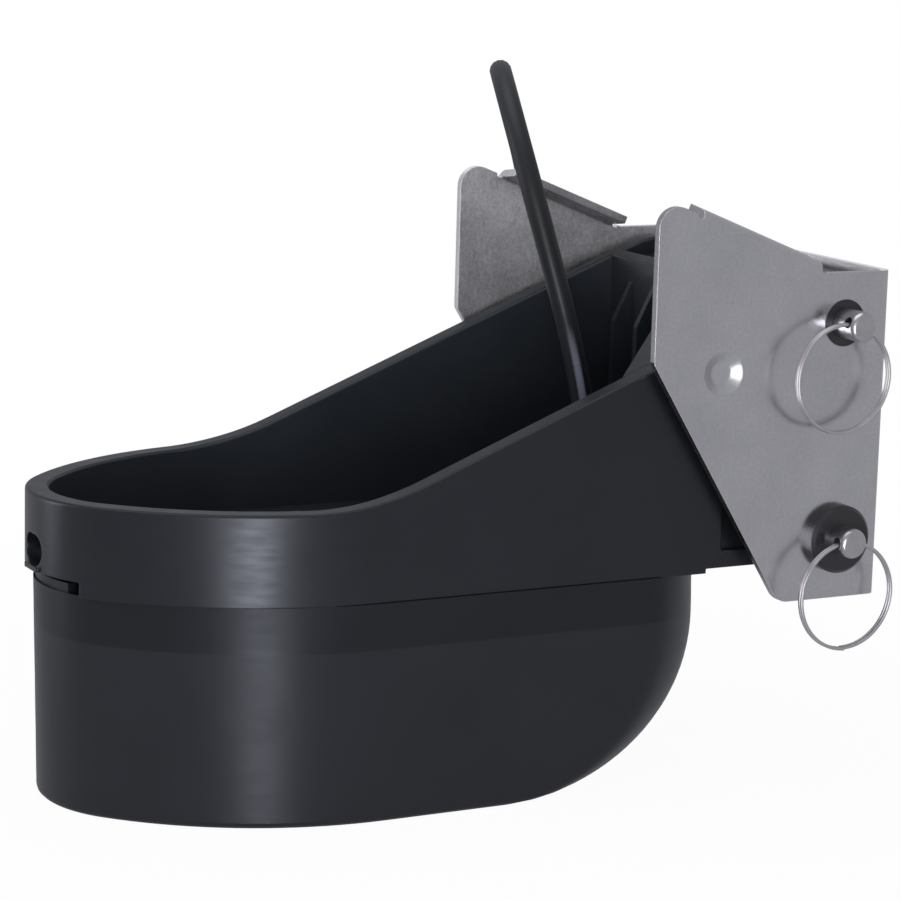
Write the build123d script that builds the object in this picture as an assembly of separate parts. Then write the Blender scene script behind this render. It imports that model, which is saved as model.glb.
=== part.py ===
from build123d import *
from math import atan, atan2, cos, degrees, pi, radians, sin, sqrt, tan
import os

# A transom-mounted sonar transducer. Millimetres. The transom's face is the plane x = 0 and the
# boat lies on its +X side. The object's middle plane is y = 0. Heights in this script are
# counted from the keel's flat underside, and every piece is lowered by MOUNT_HEIGHT when it is
# written, which puts the origin in the middle of the bracket's four slots.

# The two pins, which set the heights of the bracket and of the shroud's front
PIN_BEHIND = 20.5
UPPER_PIN_HEIGHT = 174.3
LOWER_PIN_HEIGHT = 92.3

# Bracket: one folded stainless sheet
SHEET = 3.0
BEND_INSIDE = 1.2
BRACKET_WIDTH = 157.8
BRACKET_BELOW_PIN = 23.3
BRACKET_ABOVE_PIN = 19.1
BRACKET_BOTTOM = LOWER_PIN_HEIGHT - BRACKET_BELOW_PIN
BRACKET_TOP = UPPER_PIN_HEIGHT + BRACKET_ABOVE_PIN
EAR_REACH = 103.0
EAR_HEEL_BELOW_PIN = 12.0
EAR_STRAIGHT_BOTTOM = UPPER_PIN_HEIGHT - EAR_HEEL_BELOW_PIN
EAR_FOOT = 45.0
EAR_SHOULDER = 27.5
EAR_SLOPE = 0.397
EAR_TIP_RADIUS = 8.0
EAR_HEEL_RADIUS = 3.0
FLANGE_WIDTH = 12.5
FLANGE_START = 31.5
FLANGE_END = 83.9
FLANGE_RISE = 2.0
FLANGE_LIFT = 1.8
FLANGE_RELIEF = 1.3
DIMPLE_BEHIND = 73.2
DIMPLE_BELOW_PIN = 16.7
DIMPLE_HEIGHT = UPPER_PIN_HEIGHT - DIMPLE_BELOW_PIN
DIMPLE_RADIUS = 8.5
DIMPLE_FLAT = 4.1
DIMPLE_BOSS_FLAT = 5.6
DIMPLE_DEPTH = 2.0
SLOT_WIDTH = 7.0
SLOT_LENGTH = 18.0
SLOT_SPACING_Y = 110.0
SLOT_SPACING_Z = 84.0
MOUNT_HEIGHT = (BRACKET_BOTTOM + BRACKET_TOP) / 2
EAR_FACE = BRACKET_WIDTH / 2
EAR_INNER = EAR_FACE - SHEET

# Pins, their rings and their bushes
PIN_DIAMETER = 11.4
PIN_DOME = 2.2
PIN_END_MARGIN = 4.1
PIN_HEAD_DIAMETER = 16.6
PIN_HEAD = 3.2
PIN_HEAD_EDGE = 1.1
CROSS_HOLE = 4.3
RING_RADIUS = 20.35
RING_WIRE = 1.3
RING_TURN_GAP = 0.05
RING_TO_BUSH = 8.3
LOWER_RING_TO_BUSH = 3.7
UPPER_PIN_TURN = 17.5
LOWER_PIN_TURN = 1.5
BUSH_DIAMETER = 17.6
BUSH_COLLAR = 24.0
LOWER_SLEEVE_DIAMETER = 15.6
LOWER_FLANGE_DIAMETER = 26.0
LOWER_FLANGE = 5.0
PIN_FIT = 0.05
BUSH_FIT = 0.05
CHEEK_GAP = 0.4

# Shroud: the moulded tub over the keel
LENGTH = 312.0
SHROUD_FRONT_GAP = 3.5
EAR_TO_SHROUD = 3.9
SHROUD_HALF_WIDTH = EAR_INNER - EAR_TO_SHROUD
TAIL_TIP_RADIUS = 46.5
TAIL_FLANK_RADIUS = 122.5
SEAM = 81.0
RIM_WALL = 8.5
RIM_EDGE = 1.2
RIM_LOW = 114.3
RIM_ABOVE_PIN = 16.1
RIM_HIGH = UPPER_PIN_HEIGHT + RIM_ABOVE_PIN
RIM_TURN_BEHIND = 210.5
RIM_SLOPE = 0.402
RIM_LOW_BLEND = 120.0
RIM_HIGH_BLEND = 30.0
FLOOR_UNDERSIDE = 84.2
FLOOR_TOP = 88.2
LUG_START = 72.9
LUG_UNDERSIDE = 82.5
LEDGE = 89.0
LEDGE_START = 66.6
CHEEK_RECESS = 3.2
LUG_RECESS = 1.0
FRONT_WALL = 5.0
PIN_WALL_BEHIND = 34.0
PIN_WALL = 4.5
PIN_TUBE = 18.5
CORNER_ROOF = 4.0
CORNER_ROOF_START = 107.0
CORNER_ROOF_REACH = 38.8
RIB = 3.0
RIB_REACH = 8.0
RIB_DROP = 16.0
RIB_OFFSETS = (12.0, 30.0, 48.0)
PORT_WIDTH = 16.0
PORT_HEIGHT = 11.6
PORT_CENTRE = 94.0
LATCH_HALF_WIDTH = 26.0
LATCH_TOP = 86.5
TONGUE_HALF_WIDTH = 17.0
TONGUE_TOP = 84.4
TONGUE_INSET = 0.8
TONGUE_DEPTH = 4.0
TONGUE_ROOT = 3.0
LIP_HALF_WIDTH = 6.0
LIP_PROUD = 0.8
LIP_DEPTH = 4.2
CHEEK_FACE = SHROUD_HALF_WIDTH - CHEEK_RECESS
WELL_HALF_WIDTH = SHROUD_HALF_WIDTH - RIM_WALL

# Keel: the moulded acoustic hull
KEEL_PROUD = 0.6
KEEL_TAIL_STEP = 3.2
KEEL_HALF_WIDTH = SHROUD_HALF_WIDTH + KEEL_PROUD
KEEL_TAIL = LENGTH - KEEL_TAIL_STEP
KEEL_TAIL_DRAFT = 1.4
KEEL_DRAFT = 0.8
KEEL_TIP_RADIUS = 46.1
KEEL_FLANK_RADIUS = 122.0
NOSE_BEHIND = 48.1
NOSE_DEPTH = 48.2
NOSE_POWER = 1.73
NOSE_ROUND_REACH = 64.4
NOSE_ROUND_HEIGHT = 58.2
NOSE_POINTS = 6
KEEL_EDGE = 2.4
KEEL_EDGE_BANDS = 3
KEEL_LEVELS = (0.09, 0.2, 0.34, 0.5, 0.7, 1.0)
KEEL_LEVEL_GAP = 3.0
KEEL_WALL = 5.0
KEEL_WINDOW = 6.0
POTTING_DROP = 1.0

# What the keel holds
ELEMENT_COUNT = 6
ELEMENT_SHARE = 0.109
ELEMENT_GAP = 4.0
ELEMENT_TO_TAIL = 18.8
ELEMENT_HEIGHT = 22.0
ELEMENT_BEVEL = 0.8
ELEMENT_DIAMETER = LENGTH * ELEMENT_SHARE
ELEMENT_PITCH = ELEMENT_DIAMETER + ELEMENT_GAP
ELEMENT_GROUP_RADIUS = ELEMENT_PITCH + ELEMENT_DIAMETER / 2
ELEMENT_GROUP_BEHIND = KEEL_TAIL - ELEMENT_TO_TAIL - ELEMENT_GROUP_RADIUS
HIGH_ELEMENT_SHARE = 0.154
HIGH_ELEMENT_GAP = 8.0
HIGH_ELEMENT_HEIGHT = 10.0
HIGH_ELEMENT_RADIUS = LENGTH * HIGH_ELEMENT_SHARE / 2
HIGH_ELEMENT_BEHIND = (
    ELEMENT_GROUP_BEHIND - ELEMENT_GROUP_RADIUS - HIGH_ELEMENT_GAP - HIGH_ELEMENT_RADIUS
)
HOLDER_MARGIN = 4.0
HOLDER_LEAD = 6.0
HOLDER_FRONT = HIGH_ELEMENT_BEHIND - HIGH_ELEMENT_RADIUS - HOLDER_LEAD
HOLDER_HEIGHT = 14.0
WINDOW_COAT = 3.0
ELEMENT_FIT = 0.2
ELEMENT_BOTTOM = KEEL_WINDOW + WINDOW_COAT
BOARD_MARGIN = 5.0
BOARD_LENGTH = 2 * (ELEMENT_PITCH + BOARD_MARGIN)
BOARD_WIDTH = 44.0
BOARD = 1.6
BOARD_LIFT = 14.0
BOARD_BOTTOM = ELEMENT_BOTTOM + ELEMENT_HEIGHT + BOARD_LIFT
TRANSFORMER_DIAMETER = 42.0
TRANSFORMER_BORE = 16.0
TRANSFORMER_HEIGHT = 18.0
TRANSFORMER_EDGE = 3.6
TRANSFORMER_BEHIND = 118.0
TRANSFORMER_HEIGHT_ABOVE = 46.0
LEAD_WIRE = 1.4
SENSOR_DIAMETER = 6.0
SENSOR_LENGTH = 14.0
SENSOR_BEHIND = 150.0
SENSOR_HEIGHT = 60.0
SCREW_HEAD = 8.0
SCREW_HEAD_HEIGHT = 3.0
SCREW_HEAD_EDGE = 1.0
SCREW_CROSS = 4.0
SCREW_CROSS_WIDTH = 1.0
SCREW_CROSS_DEPTH = 1.0
SCREW_SHANK = 4.0
SCREW_LENGTH = 16.0
SCREW_FIT = 0.3
SCREW_INSET = 26.0
SCREWS_FROM_END = (50.0, 122.0, 197.0)
BOSS_DIAMETER = 12.0

# Gland and cable
CABLE = 8.8
ARC_SHARE = 0.45
GLAND_BEHIND = 77.4
GLAND_LEAN = 0.2
GLAND_THREAD = 18.0
GLAND_DEPTH = 16.0
GLAND_HEX = 24.0
GLAND_HEX_HEIGHT = 7.0
GLAND_HOLE_FIT = 6.0
NUT_DIAMETER = 22.0
NUT_HEIGHT = 10.0
NUT_CHAMFER = 2.0
BOOT_LENGTH = 20.0
BOOT_BASE = 17.0
BOOT_TOP = 12.0
CABLE_FIT = 0.1
CORE_DEPTH = 6.0
FLOOR_CLEARANCE = 0.1

# The cable's route by hand, as heights above the keel's underside: up out of the tub, over one
# round bend, down behind the far ear and along the surface into the coil
CABLE_ROUTE = [
    (-88.76, 0.0, 145.0),
    (-98.1, 0.0, 176.5),
    (-110.6, 0.0, 213.8),
    (-112.6, 13.0, 239.5),
    (-106.8, 35.5, 256.8),
    (-94.8, 61.5, 260.8),
    (-79.7, 84.0, 250.6),
    (-65.7, 97.0, 228.9),
    (-56.4, 99.6, 199.5),
    (-50.6, 99.4, 155.0),
    (-49.2, 99.4, 98.0),
    (-50.4, 99.4, 42.5),
    (-64.0, 99.4, 18.2),
    (-88.0, 99.4, 4.6),
    (-116.0, 99.7, 4.6),
]

# The coil: turns side by side and on each other, tied twice
COIL_ACROSS = 5
COIL_LAYERS = 5
COIL_MEAN_RADIUS = 59.0
COIL_CENTRE_X = -106.0
COIL_CENTRE_Y = 176.0
TIE = 1.2
TIE_WIDTH = 14.0
TIE_ANGLES = (20.0, 200.0)
COIL_EDGE = 4.0
COIL_HALF = CABLE * COIL_ACROSS / 2
COIL_BOTTOM = TIE + FLOOR_CLEARANCE
COIL_TOP = COIL_BOTTOM + CABLE * COIL_LAYERS

# The far end: a round connector that lies on the coil
CONNECTOR_DIAMETER = 18.0
CONNECTOR_LENGTH = 30.0
CONNECTOR_RING_DIAMETER = 22.0
CONNECTOR_RING_LENGTH = 14.0
CONNECTOR_BOOT_LENGTH = 22.0
CONNECTOR_BOOT_END = 12.0
CONNECTOR_CAVITY = 9.0
CONNECTOR_WALL = 1.8
CONTACT = 1.6
CONTACT_DEPTH = 5.0
INSERT_RECESS = 1.0
CONTACT_CIRCLE = 4.0
CONTACT_COUNT = 6
CONNECTOR_AXIS_Z = COIL_TOP + CONNECTOR_RING_DIAMETER / 2 + FLOOR_CLEARANCE
CONNECTOR_Y = COIL_CENTRE_Y + COIL_MEAN_RADIUS
CONNECTOR_START_X = -95.0
TAIL_ROUTE = [
    (-117.5, 131.0, 48.6),
    (-135.2, 131.0, 50.2),
    (-152.4, 137.3, 51.0),
    (-166.4, 149.1, 51.6),
    (-175.6, 164.9, 52.2),
    (-178.8, 183.0, 52.9),
    (-175.6, 201.1, 53.7),
    (-166.4, 216.9, 54.6),
    (-152.4, 228.7, 55.5),
    (-135.2, CONNECTOR_Y, CONNECTOR_AXIS_Z),
]

# Farther than any face of the object
FAR = 400.0


def upright(face, bottom, top):
    """A plan outline raised from one height to another."""
    return extrude(Pos(0, 0, bottom) * face, amount=top - bottom)


def across(points, half_width, corners=()):
    """A side outline of a given half width, with the named corners rounded."""
    outline = make_face(Polyline(*points, close=True))
    for point, radius in corners:
        corner = outline.vertices().sort_by_distance(point)[0]
        outline = fillet(corner, radius)
    return extrude(Plane.XZ * outline, amount=half_width, both=True)


def patterned(places, outline):
    """One outline repeated at several places, as one sketch."""
    return Sketch() + [place * outline for place in places]


def rod(radius, y_start, y_end, x, z):
    """A round bar along Y."""
    length = y_end - y_start
    return Pos(x, (y_start + y_end) / 2, z) * Rot(90, 0, 0) * Cylinder(radius, length)


def tapered_rod(base_radius, end_radius, start, direction, length):
    """A cone frustum from a point along a direction."""
    return Plane(origin=start, z_dir=direction) * Cone(
        base_radius, end_radius, length, align=(Align.CENTER, Align.CENTER, Align.MIN)
    )


def round_bar(radius, start, direction, length):
    """A cylinder from a point along a direction."""
    return Plane(origin=start, z_dir=direction) * Cylinder(
        radius, length, align=(Align.CENTER, Align.CENTER, Align.MIN)
    )


def on_circle(centre, radius, angle):
    """A point of a circle, with its angle in radians."""
    return (centre[0] + radius * cos(angle), centre[1] + radius * sin(angle))


def tail_edges(tail_x, half_width, tip_radius, flank_radius):
    """The blunt trailing end in plan: a flank arc, the tip arc and the other flank arc."""
    offset = flank_radius - half_width
    run = sqrt((flank_radius - tip_radius) ** 2 - offset ** 2)
    tip = (tail_x + tip_radius, 0)
    turn = atan2(offset, -run)
    flank_x = tip[0] + run
    upper_tangent = on_circle(tip, tip_radius, turn)
    lower_tangent = (upper_tangent[0], -upper_tangent[1])
    middle = on_circle((flank_x, -offset), flank_radius, (turn + pi / 2) / 2)
    start = (flank_x, half_width)
    return (
        flank_x,
        ThreePointArc(start, middle, upper_tangent)
        + ThreePointArc(upper_tangent, (tail_x, 0), lower_tangent)
        + ThreePointArc(lower_tangent, (middle[0], -middle[1]), (start[0], -start[1])),
    )


def shroud_plan(inset=0.0):
    """The shroud in plan: blunt tail, straight sides and a square front."""
    half_width = SHROUD_HALF_WIDTH - inset
    front = -SHEET - SHROUD_FRONT_GAP - inset
    flank_x, tail = tail_edges(
        -LENGTH + inset, half_width, TAIL_TIP_RADIUS - inset, TAIL_FLANK_RADIUS - inset
    )
    sides = Polyline(
        (flank_x, half_width), (front, half_width), (front, -half_width), (flank_x, -half_width)
    )
    return make_face(tail + sides)


def nose_shift(height):
    """How far the nose's tip lies behind its foremost reach at a height: a quarter ellipse."""
    if height >= NOSE_ROUND_HEIGHT:
        return 0.0
    return NOSE_ROUND_REACH * (1 - sqrt(1 - (1 - height / NOSE_ROUND_HEIGHT) ** 2))


def keel_section(height, inset=0.0):
    """The keel's outline at a height, as a face: blunt tail, straight sides, rounded nose."""
    draft = KEEL_DRAFT * (1 - height / SEAM)
    half_width = KEEL_HALF_WIDTH - inset - draft
    tail_x = -KEEL_TAIL + inset + KEEL_TAIL_DRAFT * (1 - height / SEAM)
    flank_x, tail = tail_edges(
        tail_x, half_width, KEEL_TIP_RADIUS - inset - draft, KEEL_FLANK_RADIUS - inset
    )
    tip_x = -NOSE_BEHIND - nose_shift(height) - inset
    root_x = tip_x - NOSE_DEPTH
    points = []
    for step in range(-NOSE_POINTS, NOSE_POINTS + 1):
        angle = step * pi / 2 / NOSE_POINTS
        along = abs(cos(angle)) ** (2 / NOSE_POWER)
        side = abs(sin(angle)) ** (2 / NOSE_POWER)
        points.append((root_x + NOSE_DEPTH * along, half_width * side * (1 if step > 0 else -1)))
    points[0] = (root_x, -half_width)
    points[-1] = (root_x, half_width)
    nose = Spline(*points, tangents=[(1, 0), (-1, 0)])
    far_side = Line(nose @ 1, (flank_x, half_width))
    near_side = Line((flank_x, -half_width), nose @ 0)
    return Pos(0, 0, height) * make_face(tail + far_side + near_side + nose)


def keel_block(inset, bottom, top):
    """The hull as one loft of its outlines, or its inside when it is inset."""
    levels = [top * level for level in KEEL_LEVELS]
    heights = [bottom] + [height for height in levels if height > bottom + KEEL_LEVEL_GAP]
    return loft([keel_section(height, inset) for height in heights])


def keel_edge():
    """The rounded edge round the keel's flat underside, in a few ruled bands."""
    turns = [step * pi / 2 / KEEL_EDGE_BANDS for step in range(KEEL_EDGE_BANDS + 1)]
    return loft(
        [
            keel_section(KEEL_EDGE * (1 - cos(turn)), KEEL_EDGE * (1 - sin(turn)))
            for turn in turns
        ],
        ruled=True,
    )


def rim_points(drop=0.0):
    """The rim's side line from the trailing end to the front."""
    high_behind = RIM_TURN_BEHIND - (RIM_HIGH - RIM_LOW) / RIM_SLOPE
    return [
        (-FAR, RIM_LOW - drop),
        (-RIM_TURN_BEHIND, RIM_LOW - drop),
        (-high_behind, RIM_HIGH - drop),
        (FAR, RIM_HIGH - drop),
    ]


def below_rim(drop=0.0):
    """Everything below the rim's side line, which the two blends make smooth."""
    end, low, high, front = rim_points(drop)
    points = [end, low, high, front, (FAR, -FAR), (-FAR, -FAR)]
    return across(points, FAR, corners=[(high, RIM_HIGH_BLEND), (low, RIM_LOW_BLEND)])


def ear_profile():
    """The ears and the back plate from the side."""
    tip = (-EAR_REACH, BRACKET_TOP + EAR_SLOPE * (EAR_REACH - EAR_SHOULDER))
    heel = (-EAR_REACH, EAR_STRAIGHT_BOTTOM)
    foot = (-EAR_FOOT, BRACKET_BOTTOM)
    shoulder = (-EAR_SHOULDER, BRACKET_TOP)
    points = [(0, BRACKET_BOTTOM), (0, BRACKET_TOP), shoulder, tip, heel, foot]
    corners = [(foot, EAR_TIP_RADIUS), (heel, EAR_HEEL_RADIUS), (tip, EAR_TIP_RADIUS)]
    return across(points, EAR_FACE, corners)


def ear_flange():
    """The near ear's inward flange, bent over along the sloping edge."""
    lean = atan(EAR_SLOPE)
    lower_end = Vector(-FLANGE_START, 0, BRACKET_TOP + EAR_SLOPE * (FLANGE_START - EAR_SHOULDER))
    length = (FLANGE_END - FLANGE_START) / cos(lean)
    along = Vector(-cos(lean), 0, sin(lean))
    leg = FLANGE_RISE + EAR_TIP_RADIUS
    # In the flange's own plane, x is inward from the ear's face and y is up from the edge
    inside_corner = (SHEET, FLANGE_RISE - SHEET + FLANGE_LIFT * SHEET / FLANGE_WIDTH)
    section = Polyline(
        (0, FLANGE_RISE - leg),
        (0, FLANGE_RISE),
        (FLANGE_WIDTH, FLANGE_RISE + FLANGE_LIFT),
        (FLANGE_WIDTH, FLANGE_RISE + FLANGE_LIFT - SHEET),
        inside_corner,
        (SHEET, FLANGE_RISE - leg),
        close=True,
    )
    outline = make_face(section)
    corners = outline.vertices().sort_by_distance((0, FLANGE_RISE))
    outline = fillet(corners[0], BEND_INSIDE + SHEET)
    inside = outline.vertices().sort_by_distance(inside_corner)
    outline = fillet(inside[0], BEND_INSIDE)
    plane = Plane(origin=lower_end + Vector(0, -EAR_FACE, 0), x_dir=(0, 1, 0), z_dir=-along)
    return extrude(plane * outline, amount=-length)


def flange_reliefs():
    """A small round relief in the sloping edge at each end of the flanges."""
    for behind in (FLANGE_START - FLANGE_RELIEF, FLANGE_END + FLANGE_RELIEF):
        height = BRACKET_TOP + EAR_SLOPE * (behind - EAR_SHOULDER)
        yield rod(FLANGE_RELIEF, -FAR, FAR, -behind, height)


def dimple_recess():
    """The near ear's pressed dimple as it shows outside."""
    start = (-DIMPLE_BEHIND, -EAR_FACE, DIMPLE_HEIGHT)
    return tapered_rod(DIMPLE_RADIUS, DIMPLE_FLAT, start, (0, 1, 0), DIMPLE_DEPTH)


def dimple_boss():
    """The same dimple where the sheet stands out inside the ear."""
    start = (-DIMPLE_BEHIND, -EAR_INNER, DIMPLE_HEIGHT)
    return tapered_rod(DIMPLE_RADIUS, DIMPLE_BOSS_FLAT, start, (0, 1, 0), DIMPLE_DEPTH)


def make_bracket():
    """One sheet folded to a channel, trimmed by the ears' outline, flanged and pierced."""
    outer = Rectangle(FAR, BRACKET_WIDTH, align=(Align.MAX, Align.CENTER))
    outer = fillet(outer.vertices().group_by(Axis.X)[-1], BEND_INSIDE + SHEET)
    inner = Pos(-SHEET, 0) * Rectangle(FAR, 2 * EAR_INNER, align=(Align.MAX, Align.CENTER))
    inner = fillet(inner.vertices().group_by(Axis.X)[-1], BEND_INSIDE)
    bracket = upright(outer - inner, BRACKET_BOTTOM, FAR) & ear_profile()
    bracket = bracket + ear_flange() + mirror(ear_flange(), Plane.XZ)
    for relief in flange_reliefs():
        bracket = bracket - relief
    bracket = bracket + dimple_boss() + mirror(dimple_boss(), Plane.XZ)
    bracket = bracket - dimple_recess() - mirror(dimple_recess(), Plane.XZ)
    bracket = bracket - rod(BUSH_DIAMETER / 2 + BUSH_FIT, -FAR, FAR, -PIN_BEHIND, UPPER_PIN_HEIGHT)
    lower_hole = LOWER_SLEEVE_DIAMETER / 2 + BUSH_FIT
    bracket = bracket - rod(lower_hole, -FAR, FAR, -PIN_BEHIND, LOWER_PIN_HEIGHT)
    slot = SlotOverall(SLOT_LENGTH, SLOT_WIDTH)
    places = GridLocations(SLOT_SPACING_Y, SLOT_SPACING_Z, 2, 2)
    back = Plane(origin=(0, 0, MOUNT_HEIGHT), x_dir=(0, 1, 0), z_dir=(1, 0, 0))
    return bracket - extrude(back * patterned(places, slot), amount=SHEET, both=True)


def make_shroud():
    """The tub: one outline cut by the sloping rim, hollowed, with its cheeks, walls and pin tubes."""
    outer = upright(shroud_plan(), SEAM, FAR) & below_rim()
    under_lug = Pos(-LUG_START, 0) * Rectangle(FAR, FAR, align=(Align.MIN, Align.CENTER))
    outer = outer - upright(under_lug, 0, LUG_UNDERSIDE)
    well = upright(shroud_plan(RIM_WALL), FLOOR_TOP, FAR)
    front_x = -SHEET - SHROUD_FRONT_GAP - FRONT_WALL
    behind_wall = Box(FAR, FAR, FAR, align=(Align.MAX, Align.CENTER, Align.CENTER))
    tub = well & (Pos(-PIN_WALL_BEHIND - PIN_WALL, 0, 0) * behind_wall)
    pocket_length = PIN_WALL_BEHIND + front_x
    pocket = Pos(front_x - pocket_length / 2, 0, FLOOR_TOP) * Box(
        pocket_length, 2 * WELL_HALF_WIDTH, FAR, align=(Align.CENTER, Align.CENTER, Align.MIN)
    )
    shroud = soften_rim(outer - tub - pocket)
    shroud = shroud - under_floor()
    for recess in cheek_recesses():
        shroud = shroud - recess - mirror(recess, Plane.XZ)
    for height in (UPPER_PIN_HEIGHT, LOWER_PIN_HEIGHT):
        shroud = shroud + rod(PIN_TUBE / 2, -WELL_HALF_WIDTH, WELL_HALF_WIDTH, -PIN_BEHIND, height)
    shroud = shroud + corner_roof() + front_ribs() + screw_bosses()
    for height in (UPPER_PIN_HEIGHT, LOWER_PIN_HEIGHT):
        bore = PIN_DIAMETER / 2 + CHEEK_GAP
        shroud = shroud - rod(bore, -FAR, FAR, -PIN_BEHIND, height)
    shroud = shroud - screw_holes() - gland_hole()
    return trailing_end(shroud)


def soften_rim(shroud):
    """Both long edges of the rim, rounded."""
    lowest = RIM_LOW - RIM_EDGE
    edges = [
        edge
        for edge in shroud.edges()
        if edge.bounding_box().min.Z > lowest
        and abs(edge.center().Y) > WELL_HALF_WIDTH - RIM_EDGE
        or edge.bounding_box().max.X < -LENGTH + 2 * RIM_WALL + TAIL_TIP_RADIUS
        and edge.bounding_box().min.Z > lowest
    ]
    return fillet(edges, RIM_EDGE)


def under_floor():
    """The shallow space between the shroud's floor and the keel's top."""
    plan = Pos(0, 0, -SEAM) * keel_section(SEAM, RIM_WALL)
    return upright(plan, SEAM, FLOOR_UNDERSIDE)


def cheek_recesses():
    """Each cheek steps in under its ear, deeply above the ledge and slightly below it."""
    deep = [
        (-LEDGE_START, LEDGE),
        (FAR, LEDGE),
        (FAR, FAR),
        (-LEDGE_START, FAR),
    ]
    slight = [
        (-LUG_START, LUG_UNDERSIDE),
        (FAR, LUG_UNDERSIDE),
        (FAR, LEDGE),
        (LEDGE - LUG_UNDERSIDE - LUG_START, LEDGE),
    ]
    for points, depth in ((deep, CHEEK_RECESS), (slight, LUG_RECESS)):
        slab = across(points, FAR)
        keep = Box(2 * FAR, 2 * (SHROUD_HALF_WIDTH - depth), 2 * FAR)
        near = Pos(0, -FAR, 0) * Box(2 * FAR, 2 * FAR, 2 * FAR)
        yield (slab & near) - keep


def corner_roof():
    """The near front corner is roofed just at the rim, with a 45 degree inner edge."""
    inner_y = -WELL_HALF_WIDTH
    turn_x = -CORNER_ROOF_START + CORNER_ROOF_REACH
    plan = make_face(
        Polyline(
            (-CORNER_ROOF_START, inner_y),
            (turn_x, inner_y + CORNER_ROOF_REACH),
            (-PIN_WALL_BEHIND - PIN_WALL, inner_y + CORNER_ROOF_REACH),
            (-PIN_WALL_BEHIND - PIN_WALL, inner_y),
            close=True,
        )
    )
    return (upright(plan, FLOOR_TOP, FAR) & below_rim()) - below_rim(CORNER_ROOF)


def front_ribs():
    """Ribs that brace the wall behind the pins."""
    ribs = Part()
    for offset in RIB_OFFSETS:
        points = [
            (-PIN_WALL_BEHIND - PIN_WALL, FLOOR_TOP),
            (-PIN_WALL_BEHIND - PIN_WALL, RIM_HIGH - RIB_DROP),
            (-PIN_WALL_BEHIND - PIN_WALL - RIB_REACH, RIM_HIGH - 2 * RIB_DROP),
            (-PIN_WALL_BEHIND - PIN_WALL - RIB_REACH, FLOOR_TOP),
        ]
        ribs = ribs + Pos(0, offset, 0) * across(points, RIB / 2)
    return ribs


def screw_places():
    """Where the screws stand, in pairs along the tub."""
    offset = WELL_HALF_WIDTH - SCREW_INSET
    return [
        Location((from_end - LENGTH, side * offset))
        for from_end in SCREWS_FROM_END
        for side in (-1, 1)
    ]


def screw_bosses():
    """Bosses that carry the shroud's floor down to the keel's filling."""
    bosses = patterned(screw_places(), Circle(BOSS_DIAMETER / 2))
    return extrude(Pos(0, 0, SEAM) * bosses, amount=FLOOR_TOP - SEAM)


def screw_holes():
    """Clearance holes through the bosses."""
    holes = patterned(screw_places(), Circle(SCREW_SHANK / 2 + SCREW_FIT))
    return extrude(Pos(0, 0, SEAM) * holes, amount=2 * FLOOR_TOP, both=True)


def make_screws():
    """Pan-head screws through the shroud's floor into the keel's filling."""
    screw = Cylinder(SCREW_SHANK / 2, SCREW_LENGTH, align=(Align.CENTER, Align.CENTER, Align.MAX))
    head = Cylinder(SCREW_HEAD / 2, SCREW_HEAD_HEIGHT, align=(Align.CENTER, Align.CENTER, Align.MIN))
    head = fillet(head.edges().group_by(Axis.Z)[-1], SCREW_HEAD_EDGE)
    cross = Box(SCREW_CROSS, SCREW_CROSS_WIDTH, 2 * SCREW_CROSS_DEPTH)
    cross = cross + Box(SCREW_CROSS_WIDTH, SCREW_CROSS, 2 * SCREW_CROSS_DEPTH)
    one = screw + head - Pos(0, 0, SCREW_HEAD_HEIGHT) * cross
    return Compound([Pos(0, 0, FLOOR_TOP) * place * one for place in screw_places()])


def gland_direction():
    """The gland leans back towards the trailing end."""
    return Vector(-GLAND_LEAN, 0, 1).normalized()


def gland_point(along):
    """A point of the gland's axis, counted from the keel's top."""
    return Vector(-GLAND_BEHIND, 0, FLOOR_TOP) + gland_direction() * along


def gland_hole():
    """The hole in the shroud's floor round the gland."""
    radius = (GLAND_HEX + GLAND_HOLE_FIT) / 2
    return round_bar(radius, gland_point(-GLAND_DEPTH), gland_direction(), 2 * GLAND_DEPTH)


def trailing_end(shroud):
    """The port, the latch slot and the pry lip in the middle of the trailing end."""
    reach = Vector(-LENGTH + TAIL_TIP_RADIUS / 2, 0, 0)
    end = Plane(origin=reach, x_dir=(0, -1, 0), z_dir=(-1, 0, 0))
    port = extrude(end * Pos(0, PORT_CENTRE) * SlotOverall(PORT_WIDTH, PORT_HEIGHT), amount=FAR)
    slot_height = LATCH_TOP - SEAM
    slot = extrude(
        end * Pos(0, SEAM + slot_height / 2) * Rectangle(2 * LATCH_HALF_WIDTH, slot_height),
        amount=FAR,
    )
    lip_height = PORT_CENTRE - PORT_HEIGHT / 2 - LATCH_TOP
    lip = Pos(-LENGTH - LIP_PROUD, 0, LATCH_TOP) * Box(
        LIP_DEPTH, 2 * LIP_HALF_WIDTH, lip_height, align=(Align.MIN, Align.CENTER, Align.MIN)
    )
    return shroud - port - slot + lip


def make_keel():
    """The hull shell: lofted outside and inside, with the latch tongue on its top edge."""
    hull = keel_block(0.0, KEEL_EDGE, SEAM) + keel_edge()
    inside = keel_block(KEEL_WALL, KEEL_WINDOW, SEAM)
    hull = hull - inside
    tongue = upright(keel_plan_band(), SEAM - TONGUE_ROOT, TONGUE_TOP)
    return hull + tongue - sensor_rod(SENSOR_DIAMETER / 2 + PIN_FIT)


def keel_plan_band():
    """The tongue's plan: a band that follows the trailing end, set back from the shroud's face."""
    flat = Pos(0, 0, -SEAM)
    outside = flat * keel_section(SEAM, TONGUE_INSET)
    band = outside - flat * keel_section(SEAM, TONGUE_INSET + TONGUE_DEPTH)
    window = Rectangle(LENGTH, 2 * TONGUE_HALF_WIDTH, align=(Align.MAX, Align.CENTER))
    return band & (Pos(-LENGTH / 2, 0) * window)


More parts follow.
